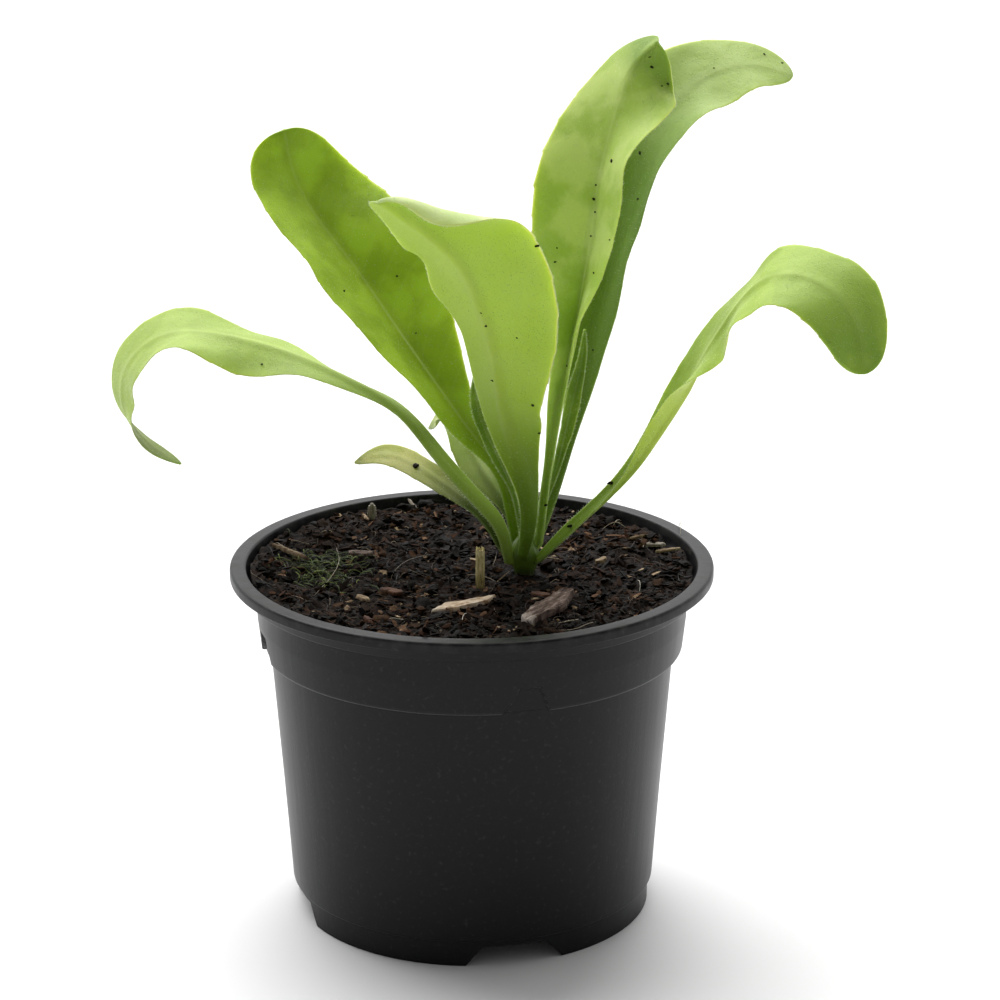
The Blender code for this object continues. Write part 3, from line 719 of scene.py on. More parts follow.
def wooden(name, colours, streak=2.2, roughness=0.75, relief=0.0002):
    """Wood, bark or straw whose grain runs along the piece."""
    material, shader, start = finish(name)
    along, across = attribute(start, "along"), attribute(start, "across")
    place = start.node("CombineXYZ", {}, {"X": along / 7, "Y": across, "Z": 0.4})
    streaks = {"Vector": place, "Scale": streak, "Detail": 6, "Roughness": 0.65}
    lines = start.node("TexNoise", {}, streaks, "Fac")
    tone = lines * 0.7 + grain(start, 0.003, 3) * 0.3 + (attribute(start, "tone") - 0.5) * 0.5
    feed(start.tree, shader, {
        "Base Color": ramp(tone, colours),
        "Roughness": roughness + 0.2 * (lines - 0.5),
        "Specular IOR Level": 0.25,
        "Normal": bumps(lines, relief, 1, bumps(grain(start, 0.0004, 3), relief * 0.4)),
    })
    return material


def make_straw():
    """A cut straw: ribbed outside, hollow at the top, its rim split here and there."""
    side = [(STRAW_RADIUS, height) for height in np.linspace(STRAW_FOOT, STRAW_TOP, 30)]
    hollow = [(STRAW_BORE, STRAW_TOP), (STRAW_BORE, STRAW_TOP - STRAW_HOLLOW)]
    profile = [(0.2, STRAW_FOOT), *side, *hollow, (0.05, STRAW_TOP - STRAW_HOLLOW - 0.1)]
    turns = np.linspace(0, math.tau, 40, endpoint=False)
    radius, height = np.array(profile)[:, :1], np.array(profile)[:, 1:]
    outer = radius > 1
    ribs = 1 - 0.05 * outer * (1 + np.sin(turns * 9)) - 0.03 * outer * np.sin(turns * 4 + height * 0.4)
    torn = (0.5 * np.sin(turns * 3 + 1) + 0.4 * np.sin(turns * 7)) * np.clip(height - STRAW_TOP + 1.2, 0, 1)
    lift = height - np.abs(torn) * 0.9
    points = round_axis(radius * ribs, lift, turns) * MM + (STRAW_X, STRAW_Y, 0)
    straw_yellow = wooden("dry_straw", [(0.3, (0.10, 0.07, 0.022)), (0.45, (0.40, 0.33, 0.13)),
                                        (0.6, (0.72, 0.63, 0.33))], 3)
    tone = 0.5 - 0.35 * np.clip((90 - lift) / 5, 0, 1)
    around = np.broadcast_to(turns * STRAW_RADIUS, lift.shape)
    values = {"along": lift.ravel(), "across": around.ravel(), "tone": tone.ravel()}
    straw = tube("straw_tube", points, straw_yellow, sharp=50, **values)
    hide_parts("straw_stub")


def scrap(name, centre, turn, lower, upper, thickness, material, tilt=0, relief=0.25, ragged=0.3,
          ends=(0.5, 0.5)):
    """A flat scrap lying on the soil, between a lower and an upper edge, rows of points in millimetres."""
    lower, upper = np.array(lower, float), np.array(upper, float)
    along = np.linspace(lower[0, 0], lower[-1, 0], 64)
    share = np.linspace(0, 1, 15)
    wild = np.array([[noise.noise((u / 1.3, edge, centre[0])) for u in along] for edge in (0, 5)]) * ragged
    low = np.interp(along, *lower.T) + wild[0]
    high = np.maximum(np.interp(along, *upper.T) + wild[1], low + 0.15)
    u = np.repeat(along[:, None], len(share), axis=1)
    v = low[:, None] + (high - low)[:, None] * share
    ends_off = np.minimum(along - along[0], along[-1] - along)[:, None]
    rim = np.clip((np.minimum(share, 1 - share)[None] * (high - low)[:, None] + 0.04) / 0.3, 0, 1) ** 0.6
    rim = rim * np.clip((ends_off + 0.05) / 0.3, 0, 1) ** 0.6
    ridges = np.array([
        [noise.fractal((a / 5, b / 0.9, centre[1]), 0.7, 2.1, 4) for a, b in zip(*row)] for row in zip(u, v)
    ])
    top = thickness * (0.35 + 0.65 * rim) + relief * ridges * rim
    spin = Matrix.Rotation(math.radians(turn), 4, "Z") @ Matrix.Rotation(math.radians(-tilt), 4, "Y")
    place = np.array(Matrix.Translation((centre[0] * MM, centre[1] * MM, 0)) @ spin)
    above, below = (
        np.stack([u, v, height], axis=-1) * MM @ place[:3, :3].T + place[:3, 3] for height in (top, 0 * top)
    )
    lift = np.max(soil_top(below[..., 0], below[..., 1]) - below[..., 2]) + SCRAP_CLEARANCE
    ring = np.concatenate([above, below[:, ::-1]], axis=1) + (0, 0, lift)
    rows, columns = ring.shape[:2]
    tone = np.interp(np.linspace(0, 1, rows), (0, 0.25, 0.75, 1), (ends[0], 0.5, 0.5, ends[1]))
    values = {
        "along": np.concatenate([u, u[:, ::-1]], axis=1).ravel(),
        "across": np.concatenate([v, v[:, ::-1]], axis=1).ravel(),
        "tone": np.repeat(tone, columns),
    }
    return tube(name, ring, material, True, sharp=38, **values)


def make_scraps():
    pale_wood = wooden("pale_wood", [(0.3, (0.12, 0.045, 0.018)), (0.42, (0.30, 0.18, 0.10)),
                                     (0.52, (0.54, 0.42, 0.31)), (0.75, (0.78, 0.68, 0.56))])
    bark = wooden("grey_bark", [(0.3, (0.012, 0.007, 0.005)), (0.44, (0.06, 0.035, 0.027)),
                                (0.56, (0.14, 0.095, 0.075)), (0.7, (0.42, 0.36, 0.32))], 1.6, 0.8, 0.0004)
    tan = wooden("tan_wood", [(0.3, (0.05, 0.03, 0.015)), (0.5, (0.2, 0.135, 0.075)),
                              (0.7, (0.45, 0.36, 0.24))])
    rust = wooden("rusty_wood", [(0.3, (0.02, 0.008, 0.003)), (0.5, (0.06, 0.022, 0.01)),
                                 (0.7, (0.17, 0.085, 0.048))])
    grey = wooden("weathered_flake", [(0.3, (0.09, 0.07, 0.055)), (0.5, (0.24, 0.2, 0.165)),
                                      (0.7, (0.5, 0.46, 0.4))])
    splinter = scrap("pale_splinter", (-1.9, -26), 29, [(-9.5, -1.1), (-4, -2.5), (6, -1.4), (9.5, 1.2)],
                     [(-9.5, -0.8), (-4.5, 1.7), (9.5, 1.5)], 1, pale_wood, ends=(0.85, 0.6))
    chip = scrap("bark_piece", (18, -31.5), 50, [(-11, -2.8), (2, -3.8), (11, 0.2)],
                 [(-11, -2.4), (-9.5, 0.5), (-2, 3.2), (9.5, 3), (11, 0.5)],
                 1.6, bark, 4, 0.45, 0.5, (1.1, 0.45))
    for item, node, slot in ((splinter, "wood_splinter", "pale_wood"), (chip, "bark_chip", "bark")):
        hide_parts(node)
    # Name, start and end, half width and thickness in millimetres, material, lean, tones of the ends
    small = [
        ("left_twig", (-51, 17.2), (-40.6, 2.8), 0.55, 1, tan, 3, (0.2, 0.3)),
        ("right_sliver", (46.4, 14.6), (52.9, 15.1), 0.75, 0.7, tan, 7, (0.8, 1)),
        ("curled_shred", (43.7, 20.3), (49.4, 19.8), 0.8, 0.8, grey, 3, (0.7, 0.9)),
        ("right_twig", (39.7, 24.4), (45.9, 26.4), 0.35, 0.7, tan, 6, (0.3, 0.4)),
        ("rust_chip", (14.4, -16.5), (19.2, -20.4), 1.2, 0.8, rust, 4, (0.5, 0.4)),
        ("red_chip", (-22.4, -14.2), (-16.6, -18), 1.5, 0.9, rust, 0, (0.1, 0.2)),
        ("grey_shred", (-31.3, 13.2), (-24.8, 11.6), 1.5, 0.9, bark, 2, (0.7, 0.6)),
        ("light_stick", (-17, 53.5), (-14.4, 48.9), 0.35, 0.6, grey, -12, (0.7, 0.6)),
        ("rear_sliver", (-28.6, 43.6), (-26.7, 36.7), 0.4, 0.6, tan, 5, (0.3, 0.3)),
        ("pink_chip", (-25.6, -35.6), (-23.2, -40.2), 0.7, 0.9, rust, 0, (0.9, 0.9)),
        ("pale_chip", (-28, -18.6), (-24.8, -22), 0.9, 0.8, tan, 0, (0.6, 0.8)),
        ("tan_chip", (31, 6.9), (34.1, 9.6), 1, 1.2, tan, 8, (0.4, 0.6)),
    ]
    for name, start, end, half, thick, material, lean, ends in small:
        centre = ((start[0] + end[0]) / 2, (start[1] + end[1]) / 2)
        length = math.dist(start, end) / 2
        turn = math.degrees(math.atan2(end[1] - start[1], end[0] - start[0]))
        lower = np.array([(-1, -0.2), (-0.6, -1), (0.5, -1), (1, -0.1)]) * (length, half)
        upper = np.array([(-1, 0.2), (-0.5, 1), (0.6, 0.8), (1, 0.2)]) * (length, half)
        scrap(name, centre, turn, lower, upper, thick, material, lean, 0.15, 0.25, ends)


def make_flake():
    """A papery flake that stands upright at the back, frayed at its top."""
    grey = bpy.data.materials["weathered_flake"]
    share = np.linspace(0, 1, 30)
    across = np.linspace(-1, 1, 13)
    half = np.interp(share, (0, 0.2, 0.75, 1), (0.55, 1, 0.85, 0.3))
    half = FLAKE_HALF_WIDTH * half + 0.08 * np.sin(share * 40)
    foot = soil_top(FLAKE_X * MM, FLAKE_Y * MM) / MM
    x = FLAKE_X + across * half[:, None] * 0.98
    bow = 0.3 * across**2 - 0.15
    y = FLAKE_Y + across * half[:, None] * 0.17 + bow
    frayed = 0.5 * np.abs(np.sin(across * 5)) * share[:, None] ** 6
    z = foot + 0.3 + FLAKE_HEIGHT * share[:, None] - frayed
    front = np.stack([x, y - FLAKE_HALF_THICKNESS, z], axis=-1)
    back = np.stack([x, y + FLAKE_HALF_THICKNESS, z], axis=-1)
    ring = np.concatenate([front, back[:, ::-1]], axis=1) * MM
    rows, columns = ring.shape[:2]
    values = {
        "along": np.repeat(share * 5, columns),
        "across": np.tile([*across, *across[::-1]], rows),
        "tone": np.repeat(0.6 + 0.3 * share, columns),
    }
    flake = tube("papery_flake", ring, grey, sharp=60, **values)
    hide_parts("pale_flake")


def make_rootlets():
    """Single rootlets and hairs of fibre: where each runs over the soil and how far it arches off it."""
    pale = fibre_skin("pale_rootlet", [(0, (0.12, 0.09, 0.055)), (0.5, (0.4, 0.34, 0.25)),
                                       (1, (0.75, 0.7, 0.6))])
    # Points it runs through, how far it arches up and its radius, in millimetres, then its tone
    courses = [
        ([(-34.5, 20.3), (-33.2, 6), (-34.3, -4.7), (-38.3, -19.9)], 1.6, 0.06, 0.6),
        ([(-41.5, -0.9), (-36.1, 0.1), (-32, 0.8), (-29, 2)], 0.8, 0.07, 0.1),
        ([(-20, -6.8), (-17.7, 3.8), (-13.2, 11.6), (-9.6, 15.5)], 1.2, 0.05, 0.3),
        ([(-49.7, 18.2), (-48.3, 16), (-46.1, 13.4)], 0.6, 0.09, 0.6),
        ([(-41.4, 7.5), (-40.8, 4.6), (-40, 2)], 0.3, 0.13, 0.9),
        ([(-39.1, 27.1), (-36.9, 27.3), (-35, 27.8)], 0.3, 0.09, 0.6),
        ([(-30.7, -2.6), (-29.6, -2.4), (-28.5, -2.6)], 0.3, 0.16, 0.9),
        ([(-21.2, -36.1), (-17, -35.6), (-13.4, -35.2)], 0.4, 0.09, 0.7),
        ([(-2.2, -39.5), (-2, -34.1), (-0.3, -32.1)], 1, 0.08, 0.9),
        ([(52.8, 27.7), (53.2, 22.7), (52.7, 18.5)], 4.6, 0.07, 0.9),
        ([(43.5, 38.5), (47, 35.7), (50.3, 32.2)], 0.8, 0.07, 0.8),
        ([(45.6, 23.7), (44.1, 20.1), (43.5, 18.1)], 0.8, 0.1, 0.7),
        ([(40.8, -8.4), (41.2, -11.8), (40.9, -14.7)], 1, 0.07, 0.9),
        ([(18.9, -40.5), (23, -39.5), (27.4, -34.6)], 0.5, 0.1, 0.6),
        ([(20.5, -44.3), (25.9, -44.3), (32, -37.4)], 0.5, 0.09, 0.5),
        ([(18.6, 11.3), (19.6, 6), (21.1, 1.7)], 0.6, 0.12, 0.2),
        ([(36, 37.6), (38, 37.4), (40.2, 36.9)], 0.9, 0.1, 0.5),
        ([(36.4, 36.7), (38, 38.6), (39.4, 40.3)], 0.9, 0.1, 0.6),
    ]
    paths, radii, tones = [], [], []
    steps = np.linspace(0, 1, 13)
    for course, rise, radius, tone in courses:
        course = np.array(course) * MM
        fit = np.polyfit(np.linspace(0, 1, len(course)), course, min(3, len(course) - 1))
        x, y = np.polyval(fit[:, 0], steps), np.polyval(fit[:, 1], steps)
        ground = np.convolve(np.pad(bed_height(x, y), 2, "edge"), np.ones(5) / 5, "valid")
        paths.append(np.stack([x, y, ground + 0.35 * MM + rise * MM * np.sin(steps * math.pi)], axis=-1))
        radii.append(radius * MM)
        tones.append(tone)
    roots = strands("rootlets", paths, radii, tones, pale, 6)


make_straw()
make_scraps()
make_flake()
make_rootlets()


# The crown: the short green stem at soil level where every leaf starts, ribbed where the stalks clasp it
# and darker toward its foot at the soil.
CROWN_PROFILE = [
    (0.5, 52), (1.3, 60), (1.9, 74), (2.3, 82), (2.5, 86.2), (3.2, 88), (3.6, 89.8), (3.5, 91.4), (3, 92.8),
    (2.2, 94.3), (1.1, 95.6),
]
CROWN_ROUNDING = 0.6
CROWN_TURNS = 72


def make_crown():
    material, shader, start = finish("stem_skin")
    # Darker and rougher toward the crown's foot at the soil line
    darker_toward_soil = 1 - smooth_step(height_in(start) + 0.003 * grain(start, 0.002, 4), 0.0865, 0.0905)
    lines = grain(start, 0.0008, 4, (1, 1, 0.15))
    green = blend(lines, (0.08, 0.15, 0.008), (0.13, 0.22, 0.016))
    feed(start.tree, shader, {
        "Base Color": blend(darker_toward_soil * 0.85, green, (0.022, 0.030, 0.006)),
        "Roughness": 0.42 + 0.3 * darker_toward_soil,
        "Normal": bumps(lines, 0.00015),
    })
    path = rounded([(radius, height, CROWN_ROUNDING) for radius, height in CROWN_PROFILE], 3)
    turns = np.linspace(0, math.tau, CROWN_TURNS, endpoint=False)
    radius, height = np.array(path)[:, :1], np.array(path)[:, 1:]
    shape = 1 + 0.05 * np.sin(turns * 5 + 0.8) + 0.025 * np.sin(turns * 11 + height * 0.3)
    points = (round_axis(radius * shape, height, turns) + (CROWN_X / MM, CROWN_Y / MM, 0)) * MM
    crown = tube("crown_stem", points, material)
    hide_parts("crown")


make_crown()


# The leaves: long soft blades that grow from the crown, each with a pale midrib that stands out underneath,
# faint side veins, small teeth far apart and fine hairs. Old ones arch over, young ones stand upright.
BLADE_THICKNESS = 0.45
KEEL_THICKNESS = 1.7
FOLD_ROUNDING = 2.6
WAVE_HEIGHT = 0.5
WAVE_LENGTH = 22
PUCKER_HEIGHT = 0.34
TOOTH_SPACING = 7.5
TOOTH_HEIGHT = 0.42
VEIN_SPACING = 6.5
FACING = np.array([0, -0.95, 0.3])
# How much closer a leaf's rows of points stand toward its tip
TIP_CROWDING = 0.45
ROOTED_AT = 87
# Shares of the way from a stalk's foot to the heart of the crown where its rows of points go on
FOOT_STEPS = (0.9, 0.6, 0.3)
# Shares of the way from the midrib to the margin where each row of a blade has its points
ACROSS = np.array([0, 0.04, 0.09, 0.15, 0.23, 0.32, 0.42, 0.52, 0.62, 0.71, 0.79, 0.86, 0.92, 0.965, 1])


def spline(values, places):
    """A natural cubic spline through rows of values, which stand at 0, 1, 2 and so on, at these places."""
    rows = np.array(values, float)
    count = len(rows)
    system, target = np.eye(count), np.zeros_like(rows)
    for row in range(1, count - 1):
        system[row, row - 1 : row + 2] = (1, 4, 1)
        target[row] = 6 * (rows[row - 1] - 2 * rows[row] + rows[row + 1])
    bend = np.linalg.solve(system, target)
    low = np.clip(np.floor(places).astype(int), 0, count - 2)
    part = (places - low)[:, None]
    rest = 1 - part
    line = rest * rows[low] + part * rows[low + 1]
    return line + ((rest**3 - rest) * bend[low] + (part**3 - part) * bend[low + 1]) / 6


def unit(vectors):
    return vectors / np.linalg.norm(vectors, axis=-1, keepdims=True)


def half_width(leaf, along):
    """Half the blade's width at these shares of the leaf's length: stalk, swelling blade, rounded tip."""
    rise = np.clip((along - leaf["blade_from"]) / (leaf["widest_at"] - leaf["blade_from"]), 0, 1)
    rise = rise * rise * (3 - 2 * rise)
    fall = np.clip((along - leaf["widest_at"]) / (1 - leaf["widest_at"]), 0, 1)
    swelling = leaf["stalk"] + (leaf["half_width"] - leaf["stalk"]) * rise
    rounding = leaf["half_width"] * (1 - fall ** leaf["bluntness"]) ** leaf["roundness"]
    foot = 0.65 + 0.35 * np.clip(along / 0.08, 0, 1)
    return np.where(along > leaf["widest_at"], np.maximum(rounding, 0.4), swelling * foot)


def midrib_course(leaf):
    """Where a leaf's rows of points lie along its midrib: the points, their share of its length, their
    distance from its foot, the directions forward and rightward, and how the halves are turned there.
    Each station gives a midrib point, how far the left and the right half lift towards the front out of the
    plane that faces it, and how much more each has turned by its margin, in millimetres and degrees.
    """
    stations = np.array([station + (0,) * (7 - len(station)) for station in leaf["stations"]], float)
    points, last = stations[:, :3], len(stations) - 1
    fine = np.linspace(0, last, 600)
    steps = np.linalg.norm(np.diff(spline(points, fine), axis=0), axis=1)
    run = np.concatenate([[0], np.cumsum(steps)])
    share = np.linspace(0, 1, leaf["rows"])
    along = share * (1 + TIP_CROWDING - TIP_CROWDING * share)
    places = np.interp(along * run[-1], run, fine)
    nudge = 0.001
    ahead, behind = np.minimum(places + nudge, last), np.maximum(places - nudge, 0)
    forward = unit(spline(points, ahead) - spline(points, behind))
    rightward = unit(np.cross(forward, unit(FACING)))
    turns = np.radians(spline(stations[:, 3:], places))
    return spline(points, places), along, along * run[-1], forward, rightward, turns


def puckers(length, over, phase):
    """Uneven heights of a blade at these distances from its foot and from its midrib, 0 on average."""
    return np.array([
        [noise.noise((a / 9, b / 7, phase * 3)) + 0.4 * noise.noise((a / 3.5, b / 3, phase)) for b in row]
        for a, row in zip(length, over)
    ])


def leaf_surface(leaf):
    """The middle of a blade as a grid of points from its left to its right margin, in millimetres, and what
    goes with it: the way it faces, its half width, distances from its midrib and its foot, and so on.
    """
    midrib, along, length, forward, rightward, turns = midrib_course(leaf)
    frontward = np.cross(rightward, forward)
    width = half_width(leaf, along)
    blade_share = np.clip((width - leaf["stalk"]) / leaf["half_width"], 0, 1)
    fold = 0.5 * (np.cos(turns[:, 1]) - np.cos(turns[:, 0]))[:, None] * rightward
    fold += 0.5 * (np.sin(turns[:, 1]) + np.sin(turns[:, 0]))[:, None] * frontward
    arch = np.clip((along - 0.45) / 0.25, 0, 1)
    round_to = np.minimum(width, FOLD_ROUNDING + (leaf["fold"] - FOLD_ROUNDING) * arch)[:, None]
    rounding = np.maximum(round_to - ACROSS * width[:, None], 0) ** 2 / (2 * round_to)
    gaps = np.diff(ACROSS)
    halves = []
    for side, sign in enumerate((-1, 1)):
        lift = turns[:, side : side + 1] + turns[:, side + 2 : side + 3] * ACROSS
        lean, rear = np.cos(lift)[..., None], np.sin(lift)[..., None]
        course = sign * rightward[:, None] * lean + frontward[:, None] * rear
        spans = 0.5 * (course[:, 1:] + course[:, :-1]) * gaps[:, None]
        offsets = np.pad(np.cumsum(spans, axis=1), ((0, 0), (1, 0), (0, 0)))
        upright = frontward[:, None] * lean - sign * rightward[:, None] * rear
        ripple = np.sin(math.tau * length / WAVE_LENGTH + leaf["phase"] + 2 * side)
        lift_by = (WAVE_HEIGHT * blade_share * ripple)[:, None] * ACROSS**2
        off_tooth = ((length + 3.1 * side + leaf["phase"]) % TOOTH_SPACING) / TOOTH_SPACING
        tooth = np.clip(1 - off_tooth * 1.15, 0, 1) ** 3
        indent = TOOTH_HEIGHT * (1 - tooth) * blade_share
        shrink = 1 - (indent / np.maximum(width, 1))[:, None] * ACROSS**6
        half = midrib[:, None] + offsets * (width[:, None] * shrink)[..., None]
        half = half + upright * lift_by[..., None] + fold[:, None] * rounding[..., None]
        halves.append(half)
    grid = np.concatenate([halves[0][:, ::-1], halves[1][:, 1:]], axis=1)
    over = np.concatenate([-ACROSS[::-1], ACROSS[1:]]) * width[:, None]
    normals = unit(np.cross(np.gradient(grid, axis=1), np.gradient(grid, axis=0)))
    calm = blade_share[:, None] * np.clip(np.abs(over) / 2.5, 0, 1)
    grid = grid + normals * (PUCKER_HEIGHT * puckers(length, over, leaf["phase"]) * calm)[..., None]
    hollow_front = 0.5 + 0.5 * np.clip((turns[:, 0] + turns[:, 1]) / math.radians(50), -1, 1)
    return {
        "grid": grid, "normals": normals, "width": width, "over": over, "length": length,
        "hollow": hollow_front, "forward": forward, "blade": blade_share,
    }


def leaf_skin(name, upper, deep, lower, rib, stem=(0.15, 0.27, 0.006), foot_shade=(0.04, 0.5),
              depth=0.62, tip=(1, 1.2), glow=0.7):
    """Leaf tissue: mottled green above, paler below, with a pale midrib, faint veins and a thin margin;
    painted shade darkens it toward its foot and, where asked, toward its tip.
    """
    material, shader, start = finish(name)
    along, over = attribute(start, "along"), attribute(start, "across")
    edge, under, stalk = attribute(start, "edge"), attribute(start, "underside"), attribute(start, "stalk")
    share = attribute(start, "share")
    # Painted shade: the tissue darkens toward the leaf's foot and, where asked, toward its tip
    low, far = 1 - smooth_step(share, *foot_shade), smooth_step(share, *tip)
    off = over.maths("ABSOLUTE", over, 0)
    warp = grain(start, 0.012)
    side = over.maths("SIGN", over, 0)
    row = (along - 0.9 * off + 0.018 * off * off + 3 * warp) / VEIN_SPACING + 0.23 * side
    cell = row.maths("FRACT", row, 0)
    near_vein = (cell - 0.5).maths("ABSOLUTE", cell - 0.5, 0)
    vein = (1 - smooth_step(near_vein, 0.02, 0.1)) * smooth_step(off, 0.6, 2)
    mottle = grain(start, 0.011, 4)
    fine = grain(start, 0.0011, 4)
    speck = smooth_step(grain(start, 0.00045), 0.6, 0.72)
    face = blend(smooth_step(mottle, 0.4, 0.6), deep, upper)
    face = blend(0.35 * fine, face, upper)
    face = blend(under, face, blend(mottle * 0.3, lower, upper))
    face = blend(vein * 0.05, face, rib)
    line = 1 - smooth_step(off, 0.1, 0.7)
    face = blend(line * (0.42 - 0.2 * under) * (1 - 0.6 * smooth_step(share, 0.5, 0.7)), face, rib)
    # Painted shade toward the foot, in the stalk's colour
    face = blend(low * depth, face, stem)
    # Painted shade toward the tip, mottled
    face = blend(far * (0.45 + 0.4 * smooth_step(mottle, 0.4, 0.6)), face, (0.13, 0.24, 0.01))
    face = blend(stalk * 0.4, face, stem)
    thin_edge = 1 - smooth_step(edge, 0.05, 0.5)
    face = blend(thin_edge * 0.35, face, (0.42, 0.53, 0.24))
    face = blend(speck * 0.12, face, (0.62, 0.72, 0.45))
    ridges = vein * (0.3 * under - 0.1) + 0.9 * fine + 0.8 * speck
    feed(start.tree, shader, {
        "Base Color": face,
        "Roughness": 0.44 + 0.14 * mottle + 0.08 * fine,
        "Specular IOR Level": 0.2,
        "Subsurface Weight": glow,
        "Subsurface Radius": (1, 1, 0.35),
        "Subsurface Scale": 0.0011,
        "Sheen Weight": 0.05,
        "Sheen Roughness": 0.4,
        "Normal": bumps(ridges, 0.00012, 0.8, bumps(speck, 0.00004)),
    })
    return material


def blade_faces(rows, columns):
    """Faces of a blade's rows of points, which run round it, with its foot and its tip filled in strips."""
    faces = woven(rows, columns)[:, ::-1].tolist()
    half = len(ACROSS) * 2 - 1
    for first, order in ((0, 1), ((rows - 1) * columns, -1)):
        faces.append([first, first + 1, first + columns - 1][::order])
        for column in range(1, half - 2):
            front, back = first + column, first + columns - column
            faces.append([front, front + 1, back - 1, back][::order])
        faces.append([first + half - 2, first + half - 1, first + half][::order])
    return faces


def make_leaf(node, leaf, material):
    """A closed blade: its front from the left to the right margin, then its back, with shared margins."""
    surface = leaf_surface(leaf)
    grid, normals, width, over = (surface[key] for key in ("grid", "normals", "width", "over"))
    rows, columns = grid.shape[:2]
    stalk_width = leaf["stalk"] * 1.3
    rib = 0.5 + 0.5 * np.cos(math.pi * np.clip(np.abs(over) / stalk_width, 0, 1))
    rib = rib * np.clip(width / stalk_width, 0, 1)[:, None]
    margin = np.abs(over) / width[:, None]
    thin = BLADE_THICKNESS * np.sqrt(np.clip(1 - margin**8, 0, 1))
    taper = np.linspace(1, 0.15, rows) + 0.9 * np.exp(-surface["length"] / 7)
    swell = (leaf["keel"] - BLADE_THICKNESS) * rib * taper[:, None] * np.sqrt(np.clip(1 - margin**4, 0, 1))
    hollow = surface["hollow"][:, None]
    front = grid + normals * (thin / 2 + swell * (1 - hollow))[..., None]
    back = grid - normals * (thin / 2 + swell * hollow)[..., None]
    ring = np.concatenate([front, back[:, -2:0:-1]], axis=1)
    middle = ring[:1].mean(axis=1, keepdims=True)
    to_root = np.array([CROWN_X / MM, CROWN_Y / MM, ROOTED_AT]) - middle
    feet = [middle + share * to_root + (ring[:1] - middle) * (1 - 0.6 * share) for share in FOOT_STEPS]
    ring = np.concatenate([*feet, ring])
    around = np.concatenate([np.arange(columns), np.arange(columns - 2, 0, -1)])
    is_back = np.concatenate([np.zeros(columns), np.ones(columns - 2)])
    is_back[[0, columns - 1]] = 0.5
    under = is_back if leaf["upper_in_front"] else 1 - is_back
    extra = len(FOOT_STEPS)
    over = np.concatenate([np.repeat(over[:1], extra, axis=0), over])
    width, length = np.pad(width, (extra, 0), "edge"), np.pad(surface["length"], (extra, 0))
    rows, columns = ring.shape[:2]
    blade = np.pad(surface["blade"], (extra, 0), "edge")
    values = {
        "along": np.repeat(length, columns),
        "across": over[:, around].ravel(),
        "edge": (width[:, None] - np.abs(over[:, around])).ravel(),
        "underside": np.tile(under, rows),
        "stalk": np.repeat(1 - np.clip(blade * 4, 0, 1), columns),
        "share": np.repeat(length / length[-1], columns),
    }
    name, faces = node.replace("leaf", "blade"), blade_faces(rows, columns)
    item = shaped(name, ring.reshape(-1, 3) * MM, faces, material, **values)
    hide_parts(node)
    return surface


def leaf_form(half_width, stalk, blade_from, widest_at, stations, **changes):
    """The values of one leaf, in millimetres and degrees, with those that most leaves share."""
    form = {
        "half_width": half_width, "stalk": stalk, "blade_from": blade_from, "widest_at": widest_at,
        "bluntness": 2.6, "roundness": 0.5, "keel": KEEL_THICKNESS, "phase": 0, "rows": 230,
        "fold": FOLD_ROUNDING, "upper_in_front": True, "skin": "grown", "stations": stations,
    }
    form.update(changes)
    return form


